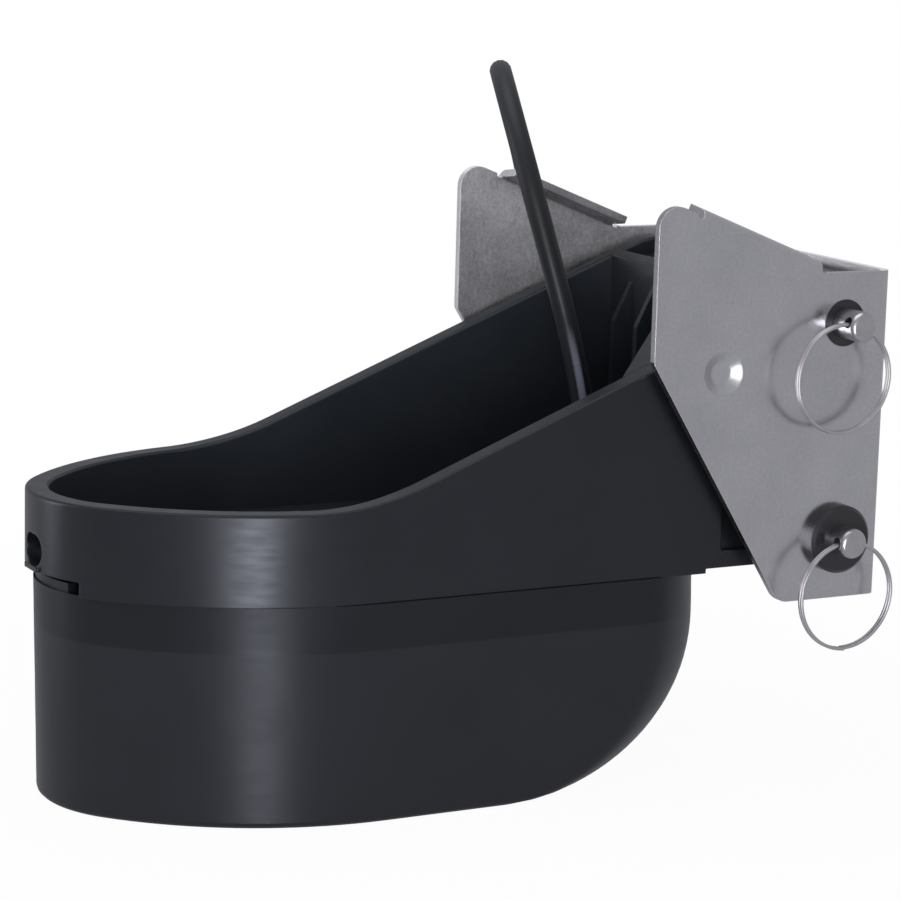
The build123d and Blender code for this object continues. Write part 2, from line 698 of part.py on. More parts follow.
def sensor_rod(radius):
    """The probe's bar through the keel's far wall."""
    draft = KEEL_DRAFT * (1 - SENSOR_HEIGHT / SEAM)
    face = KEEL_HALF_WIDTH - draft
    return rod(radius, face - SENSOR_LENGTH, face - PIN_FIT, -SENSOR_BEHIND, SENSOR_HEIGHT)


def element_places():
    """One low-frequency ceramic in the middle and a ring of them round it."""
    centre = Location((-ELEMENT_GROUP_BEHIND, 0))
    around = PolarLocations(ELEMENT_PITCH, ELEMENT_COUNT).locations
    return [centre] + [centre * place for place in around]


def make_element(place):
    """A low-frequency ceramic disc with bevelled electrodes."""
    disc = Cylinder(
        ELEMENT_DIAMETER / 2, ELEMENT_HEIGHT, align=(Align.CENTER, Align.CENTER, Align.MIN)
    )
    return Pos(0, 0, ELEMENT_BOTTOM) * place * chamfer(disc.edges(), ELEMENT_BEVEL)


def make_high_element():
    """The thin wide ceramic of the high frequency."""
    disc = Cylinder(
        HIGH_ELEMENT_RADIUS, HIGH_ELEMENT_HEIGHT, align=(Align.CENTER, Align.CENTER, Align.MIN)
    )
    return Pos(-HIGH_ELEMENT_BEHIND, 0, ELEMENT_BOTTOM) * chamfer(disc.edges(), ELEMENT_BEVEL)


def make_holder():
    """The isolating plate, pierced for every ceramic."""
    flat = Pos(0, 0, -ELEMENT_BOTTOM)
    plate = flat * keel_section(ELEMENT_BOTTOM, KEEL_WALL + HOLDER_MARGIN)
    window = Rectangle(LENGTH, LENGTH, align=(Align.MAX, Align.CENTER))
    plate = plate & (Pos(-HOLDER_FRONT, 0) * window)
    for place in element_places():
        plate = plate - place * Circle(ELEMENT_DIAMETER / 2 + ELEMENT_FIT)
    hole = Circle(HIGH_ELEMENT_RADIUS + ELEMENT_FIT)
    plate = plate - Pos(-HIGH_ELEMENT_BEHIND, 0) * hole
    return upright(plate, ELEMENT_BOTTOM, ELEMENT_BOTTOM + HOLDER_HEIGHT)


def make_board():
    """The coupling circuit's board above the ceramics."""
    board = Box(BOARD_LENGTH, BOARD_WIDTH, BOARD, align=(Align.CENTER, Align.CENTER, Align.MIN))
    return Pos(-ELEMENT_GROUP_BEHIND, 0, BOARD_BOTTOM) * board


def make_leads():
    """A stiff lead from the ceramics under the board up to it."""
    length = BOARD_BOTTOM - ELEMENT_BOTTOM - ELEMENT_HEIGHT
    lead = Cylinder(LEAD_WIRE / 2, length, align=(Align.CENTER, Align.CENTER, Align.MIN))
    lift = Pos(0, 0, ELEMENT_BOTTOM + ELEMENT_HEIGHT)
    reach = BOARD_WIDTH / 2 - LEAD_WIRE
    under = [place for place in element_places() if abs(place.position.Y) < reach]
    return Compound([lift * place * lead for place in under])


def make_transformer():
    """A toroid wound round its core, as a ring with rounded edges."""
    ring = Cylinder(TRANSFORMER_DIAMETER / 2, TRANSFORMER_HEIGHT) - Cylinder(
        TRANSFORMER_BORE / 2, TRANSFORMER_HEIGHT
    )
    ring = fillet(ring.edges(), TRANSFORMER_EDGE)
    return Pos(-TRANSFORMER_BEHIND, 0, TRANSFORMER_HEIGHT_ABOVE) * ring


def make_potting(held):
    """The resin that fills the hull round everything it holds."""
    fill = keel_block(KEEL_WALL, KEEL_WINDOW, SEAM)
    top = Pos(0, 0, SEAM - POTTING_DROP) * Box(
        2 * FAR, FAR, FAR, align=(Align.CENTER, Align.CENTER, Align.MIN)
    )
    fill = fill - top
    for piece in held:
        fill = fill - piece
    shank = patterned(screw_places(), Circle(SCREW_SHANK / 2))
    bottom = FLOOR_TOP - SCREW_LENGTH
    return fill - extrude(Pos(0, 0, bottom) * shank, amount=SCREW_LENGTH)


def gland_bore():
    """The cable's bore through the gland, its nut and its boot."""
    length = GLAND_DEPTH + GLAND_HEX_HEIGHT + NUT_HEIGHT + BOOT_LENGTH
    start = gland_point(-GLAND_DEPTH - CABLE)
    return round_bar(CABLE / 2 + CABLE_FIT, start, gland_direction(), length + 2 * CABLE)


def make_gland():
    """The gland's body: a threaded stem in the resin and a hexagon on the keel's top."""
    stem = round_bar(GLAND_THREAD / 2, gland_point(-GLAND_DEPTH), gland_direction(), GLAND_DEPTH)
    hexagon = Plane(origin=gland_point(0), z_dir=gland_direction()) * RegularPolygon(
        GLAND_HEX / 2, 6
    )
    return stem + extrude(hexagon, amount=GLAND_HEX_HEIGHT) - gland_bore()


def make_gland_nut():
    """The clamping nut on the gland's body."""
    nut = round_bar(
        NUT_DIAMETER / 2, gland_point(GLAND_HEX_HEIGHT), gland_direction(), NUT_HEIGHT
    )
    top = nut.edges().filter_by(GeomType.CIRCLE).sort_by(Axis.Z)[-1]
    return chamfer(top, NUT_CHAMFER) - gland_bore()


def make_boot():
    """The tapered strain relief above the nut."""
    start = gland_point(GLAND_HEX_HEIGHT + NUT_HEIGHT)
    boot = tapered_rod(BOOT_BASE / 2, BOOT_TOP / 2, start, gland_direction(), BOOT_LENGTH)
    return boot - gland_bore()


def boot_end():
    """The point where the cable leaves the boot."""
    return gland_point(GLAND_HEX_HEIGHT + NUT_HEIGHT + BOOT_LENGTH)


def make_core():
    """The cable's end inside the gland, down to the resin."""
    length = GLAND_DEPTH + CORE_DEPTH + GLAND_HEX_HEIGHT + NUT_HEIGHT + BOOT_LENGTH
    start = gland_point(-GLAND_DEPTH - CORE_DEPTH)
    return round_bar(CABLE / 2, start, gland_direction(), length)


def corner_radii(points):
    """For each corner of a route, the arc that its two runs allow."""
    vectors = [Vector(*point) for point in points]
    radii = []
    for before, corner, after in zip(vectors, vectors[1:], vectors[2:]):
        turn = radians((corner - before).get_angle(after - corner))
        run = min((corner - before).length, (after - corner).length)
        radii.append(ARC_SHARE * run / tan(turn / 2))
    return radii


def tube(points, label):
    """A round cable along straight runs joined by tangent arcs."""
    radii = corner_radii(points)
    route = FilletPolyline(*points, radius=radii)
    start = Plane(origin=route @ 0, z_dir=route % 0)
    solid = sweep(start * Circle(CABLE / 2), path=route)
    print(label, "length", round(route.length, 1), "radii", [round(radius) for radius in radii])
    print(label, "volume ratio", round(solid.volume / (route.length * pi * CABLE ** 2 / 4), 4))
    return solid


def make_coil():
    """The outer shape of the wound cable."""
    section = Pos(COIL_MEAN_RADIUS, (COIL_BOTTOM + COIL_TOP) / 2) * RectangleRounded(
        2 * COIL_HALF, COIL_TOP - COIL_BOTTOM, COIL_EDGE
    )
    ring = revolve(Plane.XZ * section, Axis.Z)
    return Pos(COIL_CENTRE_X, COIL_CENTRE_Y, 0) * ring


def make_ties():
    """Two flat straps round the coil's turns."""
    middle = (COIL_BOTTOM + COIL_TOP) / 2
    inner = RectangleRounded(2 * COIL_HALF, COIL_TOP - COIL_BOTTOM, COIL_EDGE)
    outer = RectangleRounded(
        2 * (COIL_HALF + TIE), COIL_TOP - COIL_BOTTOM + 2 * TIE, COIL_EDGE + TIE
    )
    turn = degrees(TIE_WIDTH / COIL_MEAN_RADIUS)
    section = Pos(COIL_MEAN_RADIUS, middle) * (outer - inner)
    strap = revolve(Plane.XZ * section, Axis.Z, turn)
    centre = Pos(COIL_CENTRE_X, COIL_CENTRE_Y, 0)
    return Compound([centre * Rot(0, 0, angle) * strap for angle in TIE_ANGLES])


def connector_at(along):
    """The connector's axis runs along X on the coil."""
    x = CONNECTOR_START_X + along
    return Plane(origin=(x, CONNECTOR_Y, CONNECTOR_AXIS_Z), z_dir=(1, 0, 0))


def connector_bar(radius, along, length):
    """A bar on the connector's axis."""
    return connector_at(along) * Cylinder(
        radius, length, align=(Align.CENTER, Align.CENTER, Align.MIN)
    )


def make_connector_boot():
    """The tapered boot where the cable goes into the connector."""
    return connector_at(-CONNECTOR_BOOT_LENGTH) * Cone(
        CONNECTOR_BOOT_END / 2,
        CONNECTOR_DIAMETER / 2 - CONNECTOR_WALL,
        CONNECTOR_BOOT_LENGTH,
        align=(Align.CENTER, Align.CENTER, Align.MIN),
    )


def make_connector_shell():
    """The connector's metal shell with its open mating end."""
    shell = connector_bar(CONNECTOR_DIAMETER / 2, 0, CONNECTOR_LENGTH)
    cavity = connector_bar(
        CONNECTOR_DIAMETER / 2 - CONNECTOR_WALL,
        CONNECTOR_LENGTH - CONNECTOR_CAVITY,
        CONNECTOR_CAVITY,
    )
    return shell - cavity


def make_connector_ring():
    """The locking ring round the shell, with grip flutes."""
    start = (CONNECTOR_LENGTH - CONNECTOR_RING_LENGTH) / 2
    ring = connector_bar(CONNECTOR_RING_DIAMETER / 2, start, CONNECTOR_RING_LENGTH)
    ring = ring - connector_bar(CONNECTOR_DIAMETER / 2 + PIN_FIT, start, CONNECTOR_RING_LENGTH)
    circle = PolarLocations(CONNECTOR_RING_DIAMETER / 2 + CONTACT / 2, 2 * CONTACT_COUNT)
    flutes = patterned(circle, Circle(CONTACT))
    return ring - extrude(connector_at(start) * flutes, amount=CONNECTOR_RING_LENGTH)


def make_connector_insert():
    """The insert that fills the shell's mouth, with a ring of contact holes."""
    length = CONNECTOR_CAVITY - INSERT_RECESS
    face = CONNECTOR_LENGTH - INSERT_RECESS
    insert = connector_bar(CONNECTOR_DIAMETER / 2 - CONNECTOR_WALL, face - length, length)
    circle = PolarLocations(CONTACT_CIRCLE, CONTACT_COUNT)
    contacts = connector_at(face) * patterned(circle, Circle(CONTACT / 2))
    return insert - extrude(contacts, amount=-CONTACT_DEPTH)


def upper_ring_plane():
    """How far the upper ring hangs outside the ear's face."""
    return EAR_FACE + RING_TO_BUSH + RING_WIRE


def lower_ring_plane():
    """How far the lower ring hangs outside the ear's face."""
    return EAR_FACE + LOWER_FLANGE + LOWER_RING_TO_BUSH + RING_WIRE


def make_pin(height, ring_plane, seat, turn):
    """A clevis pin: a flat head at the far side, a domed near end and the ring's cross hole."""
    end = -(ring_plane + PIN_END_MARGIN)
    pin = rod(PIN_DIAMETER / 2, end, seat, -PIN_BEHIND, height)
    tip = pin.edges().filter_by(GeomType.CIRCLE).sort_by(Axis.Y)[0]
    pin = fillet(tip, PIN_DOME)
    head = rod(PIN_HEAD_DIAMETER / 2, seat, seat + PIN_HEAD, -PIN_BEHIND, height)
    rim = head.edges().filter_by(GeomType.CIRCLE).sort_by(Axis.Y)[-1]
    head = fillet(rim, PIN_HEAD_EDGE)
    hole = Pos(-PIN_BEHIND, -ring_plane, height) * Rot(0, turn, 0) * Rot(0, 90, 0) * Cylinder(
        CROSS_HOLE / 2, 2 * PIN_DIAMETER
    )
    return pin + head - hole


def make_ring(height, ring_plane, turn):
    """A split ring of two turns side by side, hung through the pin's cross hole."""
    pitch = RING_WIRE + RING_TURN_GAP
    path = Helix(pitch=pitch, height=2 * pitch, radius=RING_RADIUS)
    start = Plane(origin=path @ 0, z_dir=path % 0)
    ring = sweep(start * Circle(RING_WIRE / 2), path=path)
    hang = Pos(-PIN_BEHIND, -ring_plane, height) * Rot(0, turn, 0) * Pos(0, 0, -RING_RADIUS)
    return hang * Rot(90, 0, 0) * Rot(0, 0, -90) * Pos(0, 0, -pitch) * ring


def make_upper_bush(side):
    """A flush sleeve through the ear, with a collar between the ear and the cheek."""
    inner = CHEEK_FACE + CHEEK_GAP
    bush = rod(BUSH_DIAMETER / 2, -EAR_FACE, -inner, -PIN_BEHIND, UPPER_PIN_HEIGHT)
    bush = bush + rod(BUSH_COLLAR / 2, -EAR_INNER, -inner, -PIN_BEHIND, UPPER_PIN_HEIGHT)
    bush = bush - rod(PIN_DIAMETER / 2 + PIN_FIT, -FAR, 0, -PIN_BEHIND, UPPER_PIN_HEIGHT)
    return bush if side < 0 else mirror(bush, Plane.XZ)


def make_lower_bush(side):
    """A sleeve through the ear to the cheek, with a wide flange outside."""
    inner = SHROUD_HALF_WIDTH - LUG_RECESS + CHEEK_GAP
    outer = EAR_FACE + LOWER_FLANGE
    bush = rod(LOWER_SLEEVE_DIAMETER / 2, -outer, -inner, -PIN_BEHIND, LOWER_PIN_HEIGHT)
    flange = rod(LOWER_FLANGE_DIAMETER / 2, -outer, -EAR_FACE, -PIN_BEHIND, LOWER_PIN_HEIGHT)
    rim = flange.edges().filter_by(GeomType.CIRCLE).sort_by(Axis.Y)[0]
    bush = bush + chamfer(rim, RIM_EDGE)
    bush = bush - rod(PIN_DIAMETER / 2 + PIN_FIT, -FAR, 0, -PIN_BEHIND, LOWER_PIN_HEIGHT)
    return bush if side < 0 else mirror(bush, Plane.XZ)


def save(name, shape):
    """Lower a piece to the mount's frame and write it."""
    export_step(Pos(0, 0, -MOUNT_HEIGHT) * shape, f"parts/{name}.step")


def main():
    os.makedirs("parts", exist_ok=True)
    save("transom_bracket", make_bracket())
    save("shroud", make_shroud())
    save("keel_housing", make_keel())
    save("upper_bush_near", make_upper_bush(-1))
    save("upper_bush_far", make_upper_bush(1))
    save("lower_bush_near", make_lower_bush(-1))
    save("lower_bush_far", make_lower_bush(1))
    lower_seat = EAR_FACE + LOWER_FLANGE + PIN_FIT
    upper = (UPPER_PIN_HEIGHT, upper_ring_plane(), EAR_FACE + PIN_FIT, UPPER_PIN_TURN)
    lower = (LOWER_PIN_HEIGHT, lower_ring_plane(), lower_seat, LOWER_PIN_TURN)
    for name, (height, ring_plane, seat, turn) in (("upper", upper), ("lower", lower)):
        save(name + "_pin", make_pin(height, ring_plane, seat, turn))
        save(name + "_ring", make_ring(height, ring_plane, turn))
    held = {"element_holder": make_holder(), "high_frequency_element": make_high_element()}
    for number, place in enumerate(element_places(), start=1):
        held[f"ceramic_element_{number}"] = make_element(place)
    held["circuit_board"] = make_board()
    held["element_leads"] = make_leads()
    held["matching_transformer"] = make_transformer()
    held["temperature_sensor"] = sensor_rod(SENSOR_DIAMETER / 2)
    held["cable_gland"] = make_gland()
    held["cable_core"] = make_core()
    for name, shape in held.items():
        save(name, shape)
    solids = [solid for shape in held.values() for solid in shape.solids()]
    save("potting_compound", make_potting(solids))
    save("deck_screws", make_screws())
    save("gland_nut", make_gland_nut())
    save("strain_relief", make_boot())
    exit_point = boot_end()
    save("cable_lead", tube([tuple(exit_point)] + CABLE_ROUTE, "lead"))
    connector_end = (CONNECTOR_START_X - CONNECTOR_BOOT_LENGTH, CONNECTOR_Y, CONNECTOR_AXIS_Z)
    save("cable_tail", tube(TAIL_ROUTE + [connector_end], "tail"))
    save("cable_coil", make_coil())
    save("coil_ties", make_ties())
    save("connector_boot", make_connector_boot())
    save("connector_shell", make_connector_shell())
    save("connector_ring", make_connector_ring())
    save("connector_insert", make_connector_insert())
    print("exit point", exit_point, "lowered by", MOUNT_HEIGHT)


main()
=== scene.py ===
from math import cos, radians, sin, tau

import bpy
from mathutils import Matrix, Vector


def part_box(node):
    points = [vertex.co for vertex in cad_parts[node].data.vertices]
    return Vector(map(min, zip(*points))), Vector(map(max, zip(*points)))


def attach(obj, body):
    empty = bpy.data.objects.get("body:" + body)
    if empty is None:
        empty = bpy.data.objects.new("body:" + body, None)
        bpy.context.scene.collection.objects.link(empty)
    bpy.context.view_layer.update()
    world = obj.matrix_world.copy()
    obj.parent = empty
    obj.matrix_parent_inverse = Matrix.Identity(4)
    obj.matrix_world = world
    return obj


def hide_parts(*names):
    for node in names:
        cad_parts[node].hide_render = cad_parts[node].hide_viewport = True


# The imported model. Metres, +X forward into the transom, +Z up. The origin is the middle of the
# bracket's slots, so the keel's underside, which is the floor, lies below it.
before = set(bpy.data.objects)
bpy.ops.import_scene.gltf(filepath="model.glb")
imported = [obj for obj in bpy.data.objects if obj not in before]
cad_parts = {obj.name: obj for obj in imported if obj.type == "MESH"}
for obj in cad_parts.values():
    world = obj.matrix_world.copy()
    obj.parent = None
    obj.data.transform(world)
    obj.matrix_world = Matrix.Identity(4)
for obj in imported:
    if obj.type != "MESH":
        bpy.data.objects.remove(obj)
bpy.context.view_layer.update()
floor_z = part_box("keel_housing")[0][2]
MM = 0.001


def up(height):
    """A height above the keel's underside, given in millimetres, as a Z in metres."""
    return floor_z + height * MM


# Camera. It stands near and to the left of the trailing end, a little above the rim, and is
# turned slightly, as the photograph was taken. The lens is a long one.
CAMERA_AZIMUTH = radians(-27.564)
CAMERA_ELEVATION = radians(10.464)
CAMERA_ROLL = radians(1.539)
CAMERA_DISTANCE = 1.17477
CAMERA_TARGET = Vector((-0.145245, 0.0, up(121.254)))
CAMERA_REACH = 50.0
LENS = 123.36
SENSOR = 36.0
SHIFT_X = 0.0020
SHIFT_Y = -0.0046

toward = Vector((
    sin(CAMERA_AZIMUTH) * cos(CAMERA_ELEVATION),
    -cos(CAMERA_AZIMUTH) * cos(CAMERA_ELEVATION),
    sin(CAMERA_ELEVATION),
))
level_right = Vector((cos(CAMERA_AZIMUTH), sin(CAMERA_AZIMUTH), 0.0))
level_up = toward.cross(level_right)
right = level_right * cos(CAMERA_ROLL) + level_up * sin(CAMERA_ROLL)
camera_up = level_up * cos(CAMERA_ROLL) - level_right * sin(CAMERA_ROLL)
camera_data = bpy.data.cameras.new("camera")
camera_data.lens = LENS
camera_data.sensor_width = SENSOR
camera_data.shift_x = SHIFT_X
camera_data.shift_y = SHIFT_Y
camera_data.clip_end = CAMERA_REACH
camera = bpy.data.objects.new("camera", camera_data)
camera.matrix_world = Matrix.Translation(CAMERA_TARGET + toward * CAMERA_DISTANCE) @ Matrix((
    (right.x, camera_up.x, toward.x),
    (right.y, camera_up.y, toward.y),
    (right.z, camera_up.z, toward.z),
)).to_4x4()
bpy.context.scene.collection.objects.link(camera)
bpy.context.scene.camera = camera
bpy.context.scene.view_settings.view_transform = "Standard"

# Studio. A white surround that the camera sees, a dimmer one that lights the object, a tall soft
# box close to the camera, a narrow one at the left for the edges, and a broad one overhead.
LIGHT_COLOUR = (0.93, 0.945, 1.0)
WHITE = (1.0, 1.0, 1.0)
SURROUND_LIGHT = 0.40
SURROUND_IN_GLOSS = 0.50
SURROUND_SEEN = 1.0
# Each box's name, azimuth, distance, height above the target, width, height and power
BOXES = [
    ("strip_light", radians(-25.5), 0.75, -0.14, 0.14, 0.55, 4.0),
    ("edge_light", radians(-119.0), 1.3, 0.20, 0.26, 0.90, 3.6),
]
TOP_PLACE = Vector((-0.2, 0.1, 1.3))
TOP_SIZE = 1.2
TOP_POWER = 7.0


def feed(tree, inputs, sockets):
    """Gives each input its value, or links it to the socket that feeds it."""
    for name, value in dict(sockets).items():
        if isinstance(value, bpy.types.NodeSocket):
            tree.links.new(value, inputs[name])
        else:
            inputs[name].default_value = value


def add(tree, kind, sockets=(), **settings):
    """The outputs of a new shader node with its settings and what its sockets get."""
    made = tree.nodes.new("ShaderNode" + kind)
    for name, value in settings.items():
        setattr(made, name, value)
    feed(tree, made.inputs, sockets)
    return made.outputs


world = bpy.data.worlds.new("surround")
world.use_nodes = True
surround = world.node_tree
surround.nodes.clear()
lit, gloss, seen = (
    add(surround, "Background", {"Color": (*colour, 1.0), "Strength": strength})[0]
    for colour, strength in (
        (LIGHT_COLOUR, SURROUND_LIGHT),
        (LIGHT_COLOUR, SURROUND_IN_GLOSS),
        (WHITE, SURROUND_SEEN),
    )
)
rays = add(surround, "LightPath")
lighting = add(surround, "MixShader", {0: rays["Is Glossy Ray"], 1: lit, 2: gloss})[0]
whole = add(surround, "MixShader", {0: rays["Is Camera Ray"], 1: lighting, 2: seen})[0]
add(surround, "OutputWorld", {"Surface": whole})
bpy.context.scene.world = world


def soft_box(name, place, size, power):
    """A rectangular lamp that faces the middle of the object."""
    data = bpy.data.lights.new(name, "AREA")
    data.shape = "RECTANGLE"
    data.size, data.size_y = size
    data.energy = power
    data.color = LIGHT_COLOUR
    lamp = bpy.data.objects.new(name, data)
    lamp.rotation_euler = (CAMERA_TARGET - place).to_track_quat("-Z", "Y").to_euler()
    lamp.location = place
    lamp.visible_camera = False
    bpy.context.scene.collection.objects.link(lamp)


for name, azimuth, distance, height, wide, tall, power in BOXES:
    away = Vector((distance * sin(azimuth), -distance * cos(azimuth), height))
    soft_box(name, CAMERA_TARGET + away, (wide, tall), power)
soft_box("top_light", CAMERA_TARGET + TOP_PLACE, (TOP_SIZE, TOP_SIZE), TOP_POWER)

# Floor. A white sheet that keeps the object's soft shadow close to it and fades into plain white
# farther out.
FLOOR_REACH = 12.0
FLOOR_COLOUR = (0.95, 0.95, 0.95, 1.0)
FLOOR_CENTRE = (-0.15, 0.05)
FLOOR_NEAR = 0.20
FLOOR_FAR = 0.55
FLOOR_GLOW = 0.965


def calc(tree, operation, *values):
    """A sum or another calculation with one to three values."""
    return add(tree, "Math", enumerate(values), operation=operation)[0]


def ramp(tree, value, start=0.0, end=1.0, low=0.0, high=1.0, curve="LINEAR"):
    """A value that runs from low to high as another runs from start to end."""
    limits = {"From Min": start, "From Max": end, "To Min": low, "To Max": high}
    return add(tree, "MapRange", {"Value": value, **limits}, interpolation_type=curve)[0]


floor_mesh = bpy.data.meshes.new("floor")
floor_mesh.from_pydata(
    [(x * FLOOR_REACH, y * FLOOR_REACH, floor_z) for x, y in ((-1, -1), (1, -1), (1, 1), (-1, 1))],
    [],
    [(0, 1, 2, 3)],
)
floor = bpy.data.objects.new("floor", floor_mesh)
bpy.context.scene.collection.objects.link(floor)
floor_material = bpy.data.materials.new("white_floor")
floor_material.use_nodes = True
tree = floor_material.node_tree
tree.nodes.clear()
centred = add(tree, "Mapping", {
    "Vector": add(tree, "TexCoord")["Object"],
    "Location": (-FLOOR_CENTRE[0], -FLOOR_CENTRE[1], -floor_z),
})[0]
away = add(tree, "VectorMath", {0: centred}, operation="LENGTH")["Value"]
share = ramp(tree, away, FLOOR_NEAR, FLOOR_FAR, FLOOR_GLOW, 1.0, "SMOOTHSTEP")
glow_share = calc(tree, "MULTIPLY", add(tree, "LightPath")["Is Camera Ray"], share)
paper = add(tree, "BsdfDiffuse", {"Color": FLOOR_COLOUR})[0]
glow = add(tree, "Emission")[0]
blend = add(tree, "MixShader", {0: glow_share, 1: paper, 2: glow})[0]
add(tree, "OutputMaterial", {"Surface": blend})
floor_mesh.materials.append(floor_material)
floor.visible_glossy = False

# Keel housing. The acoustic hull, one moulding of black polyurethane with a fine even grain. The
# band under the seam is darker, and the tongue that goes up into the shroud's slot is painted near
# black, a painted shade for the slot that it stands in.
KEEL_COLOUR = (0.0175, 0.0178, 0.0205, 1.0)
KEEL_BAND_COLOUR = (0.0095, 0.0100, 0.0120, 1.0)
KEEL_TONGUE_PAINTED_SHADE = (0.0030, 0.0032, 0.0040, 1.0)
KEEL_ROUGHNESS = 0.385
KEEL_SHINE = 0.33
SHINE_TINT = (0.885, 0.905, 1.0, 1.0)
KEEL_BAND_HEIGHT = 64.0
KEEL_BAND_BLEND = 0.5
KEEL_TOP = 81.2
GRAIN_DISTANCE = 0.00006
CLOUD_SCALE = 26.0
CLOUD_TONE = (0.8, 1.2)
CLOUD_ROUGHNESS = (-0.05, 0.05)
FLOW_LINES = (90.0, 90.0, 520.0)
EDGE_TURN = (0.99, 0.93)
EDGE_POLISH = -0.16
EDGE_SAMPLES = 6
# What every group puts out, and the kind of socket that it is
SURFACE = {"Base Color": "Color", "Roughness": "Float", "Normal": "Vector"}


def mix(tree, share, first, second):
    """A colour between two, by a share from 0 to 1."""
    return add(tree, "Mix", {0: share, 6: first, 7: second}, data_type="RGBA")[2]


def split(tree, vector):
    """The X, Y and Z of a place or a direction."""
    return add(tree, "SeparateXYZ", {0: vector})


def agree(tree, first, second):
    """How well two directions agree, from -1 to 1."""
    return add(tree, "VectorMath", {0: first, 1: second}, operation="DOT_PRODUCT")["Value"]


def noise(tree, vector, scale, detail=2.0):
    """A cloudy pattern from 0 to 1."""
    return add(tree, "TexNoise", {"Vector": vector, "Scale": scale, "Detail": detail})["Fac"]


def scaled(tree, colour, factor):
    """A colour times a number."""
    return add(tree, "VectorMath", {0: colour, "Scale": factor}, operation="SCALE")[0]


def varied(tree, colour, value, low, high):
    """A colour made darker or lighter by a value from 0 to 1."""
    return scaled(tree, colour, ramp(tree, value, low=low, high=high))


def relief(tree, height, distance, strength=1.0, **sockets):
    """A normal that stands up and down with a height."""
    values = {"Height": height, "Distance": distance, "Strength": strength, **sockets}
    return add(tree, "Bump", values)[0]


def new_finish(name):
    """A material with its node tree and its shader's inputs."""
    material = bpy.data.materials.new(name)
    material.use_nodes = True
    return material, material.node_tree, material.node_tree.nodes["Principled BSDF"].inputs


def dress(material, *names):
    """Gives CAD pieces their material."""
    for name in names:
        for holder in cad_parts[name].material_slots:
            holder.material = material


def new_group(name, inputs):
    """A shader node group with named inputs, each with its default, that gives a surface."""
    group = bpy.data.node_groups.new(name, "ShaderNodeTree")
    for socket, kind, value in inputs:
        made = group.interface.new_socket(socket, in_out="INPUT", socket_type="NodeSocket" + kind)
        made.default_value = value
    for socket, kind in SURFACE.items():
        group.interface.new_socket(socket, in_out="OUTPUT", socket_type="NodeSocket" + kind)
    given, result = (group.nodes.new("NodeGroup" + end) for end in ("Input", "Output"))
    return group, given.outputs, result.inputs


def use(tree, group, values, shader):
    """Places a group in a material and feeds the shader's sockets of the same names."""
    placed = tree.nodes.new("ShaderNodeGroup")
    placed.node_tree = group
    feed(tree, placed.inputs, values)
    feed(tree, shader, {name: placed.outputs[name] for name in SURFACE})


moulded, given, result = new_group("moulded_skin", [
    ("Colour", "Color", KEEL_COLOUR),
    ("Roughness", "Float", 0.4),
    ("Grain Scale", "Float", 2400.0),
    ("Grain Depth", "Float", 0.25),
    ("Streaks", "Float", 0.06),
    ("Edge Radius", "Float", 0.0),
])
place = add(moulded, "TexCoord")["Object"]
grain = noise(moulded, place, given["Grain Scale"])
cloud = noise(moulded, place, CLOUD_SCALE, 3.0)
drawn = add(moulded, "Mapping", {"Vector": place, "Scale": FLOW_LINES})[0]
streak = calc(moulded, "ADD", noise(moulded, drawn, 1.0, 3.0), -0.5)
streaked = calc(moulded, "MULTIPLY_ADD", streak, given["Streaks"], given["Roughness"])
clouded = ramp(moulded, cloud, 0.0, 1.0, *CLOUD_ROUGHNESS)
rough = calc(moulded, "ADD", streaked, clouded)
# Where a material asks for it, the edges are rounded, and polished by handling
soft_edge = add(moulded, "Bevel", {"Radius": given["Edge Radius"]}, samples=EDGE_SAMPLES)[0]
turn = agree(moulded, soft_edge, add(moulded, "NewGeometry")["Normal"])
polished = ramp(moulded, turn, *EDGE_TURN)
feed(moulded, result, {
    "Base Color": varied(moulded, given["Colour"], cloud, *CLOUD_TONE),
    "Roughness": calc(moulded, "MULTIPLY_ADD", polished, EDGE_POLISH, rough),
    "Normal": relief(moulded, grain, GRAIN_DISTANCE, given["Grain Depth"], Normal=soft_edge),
})

keel_finish, tree, shader = new_finish("keel_polyurethane")
height = split(tree, add(tree, "TexCoord")["Object"])["Z"]
band_edges = (up(KEEL_BAND_HEIGHT - KEEL_BAND_BLEND), up(KEEL_BAND_HEIGHT + KEEL_BAND_BLEND))
band = ramp(tree, height, *band_edges)
# The tongue above the seam is painted near black, a painted shade
above = calc(tree, "GREATER_THAN", height, up(KEEL_TOP))
below = mix(tree, band, KEEL_COLOUR, KEEL_BAND_COLOUR)
use(tree, moulded, {
    "Colour": mix(tree, above, below, KEEL_TONGUE_PAINTED_SHADE),
    "Roughness": KEEL_ROUGHNESS,
}, shader)
feed(tree, shader, {"Specular IOR Level": KEEL_SHINE, "Specular Tint": SHINE_TINT})
dress(keel_finish, "keel_housing")

# Element holder and ceramics. Seven low-frequency discs and one thin high-frequency disc of fired
# ceramic with burnt-on silver, in a plate of cork and rubber that keeps them apart.
CORK_COLOUR = (0.20, 0.11, 0.055, 1.0)
CORK_DARK = (0.045, 0.03, 0.02, 1.0)
CORK_ROUGHNESS = 0.85
CRUMB_SCALE = 620.0
CRUMB_DISTANCE = 0.0004
CRUMB_DEPTH = 0.5
SILVER_COLOUR = (0.62, 0.60, 0.56, 1.0)
SILVER_FACING = (0.75, 0.95)
SILVER_TONE = (0.85, 1.1)
SILVER_ROUGHNESS = (0.35, 0.7)
BRUSHED_SCALE = 900.0
CERAMIC_COLOUR = (0.40, 0.34, 0.24, 1.0)

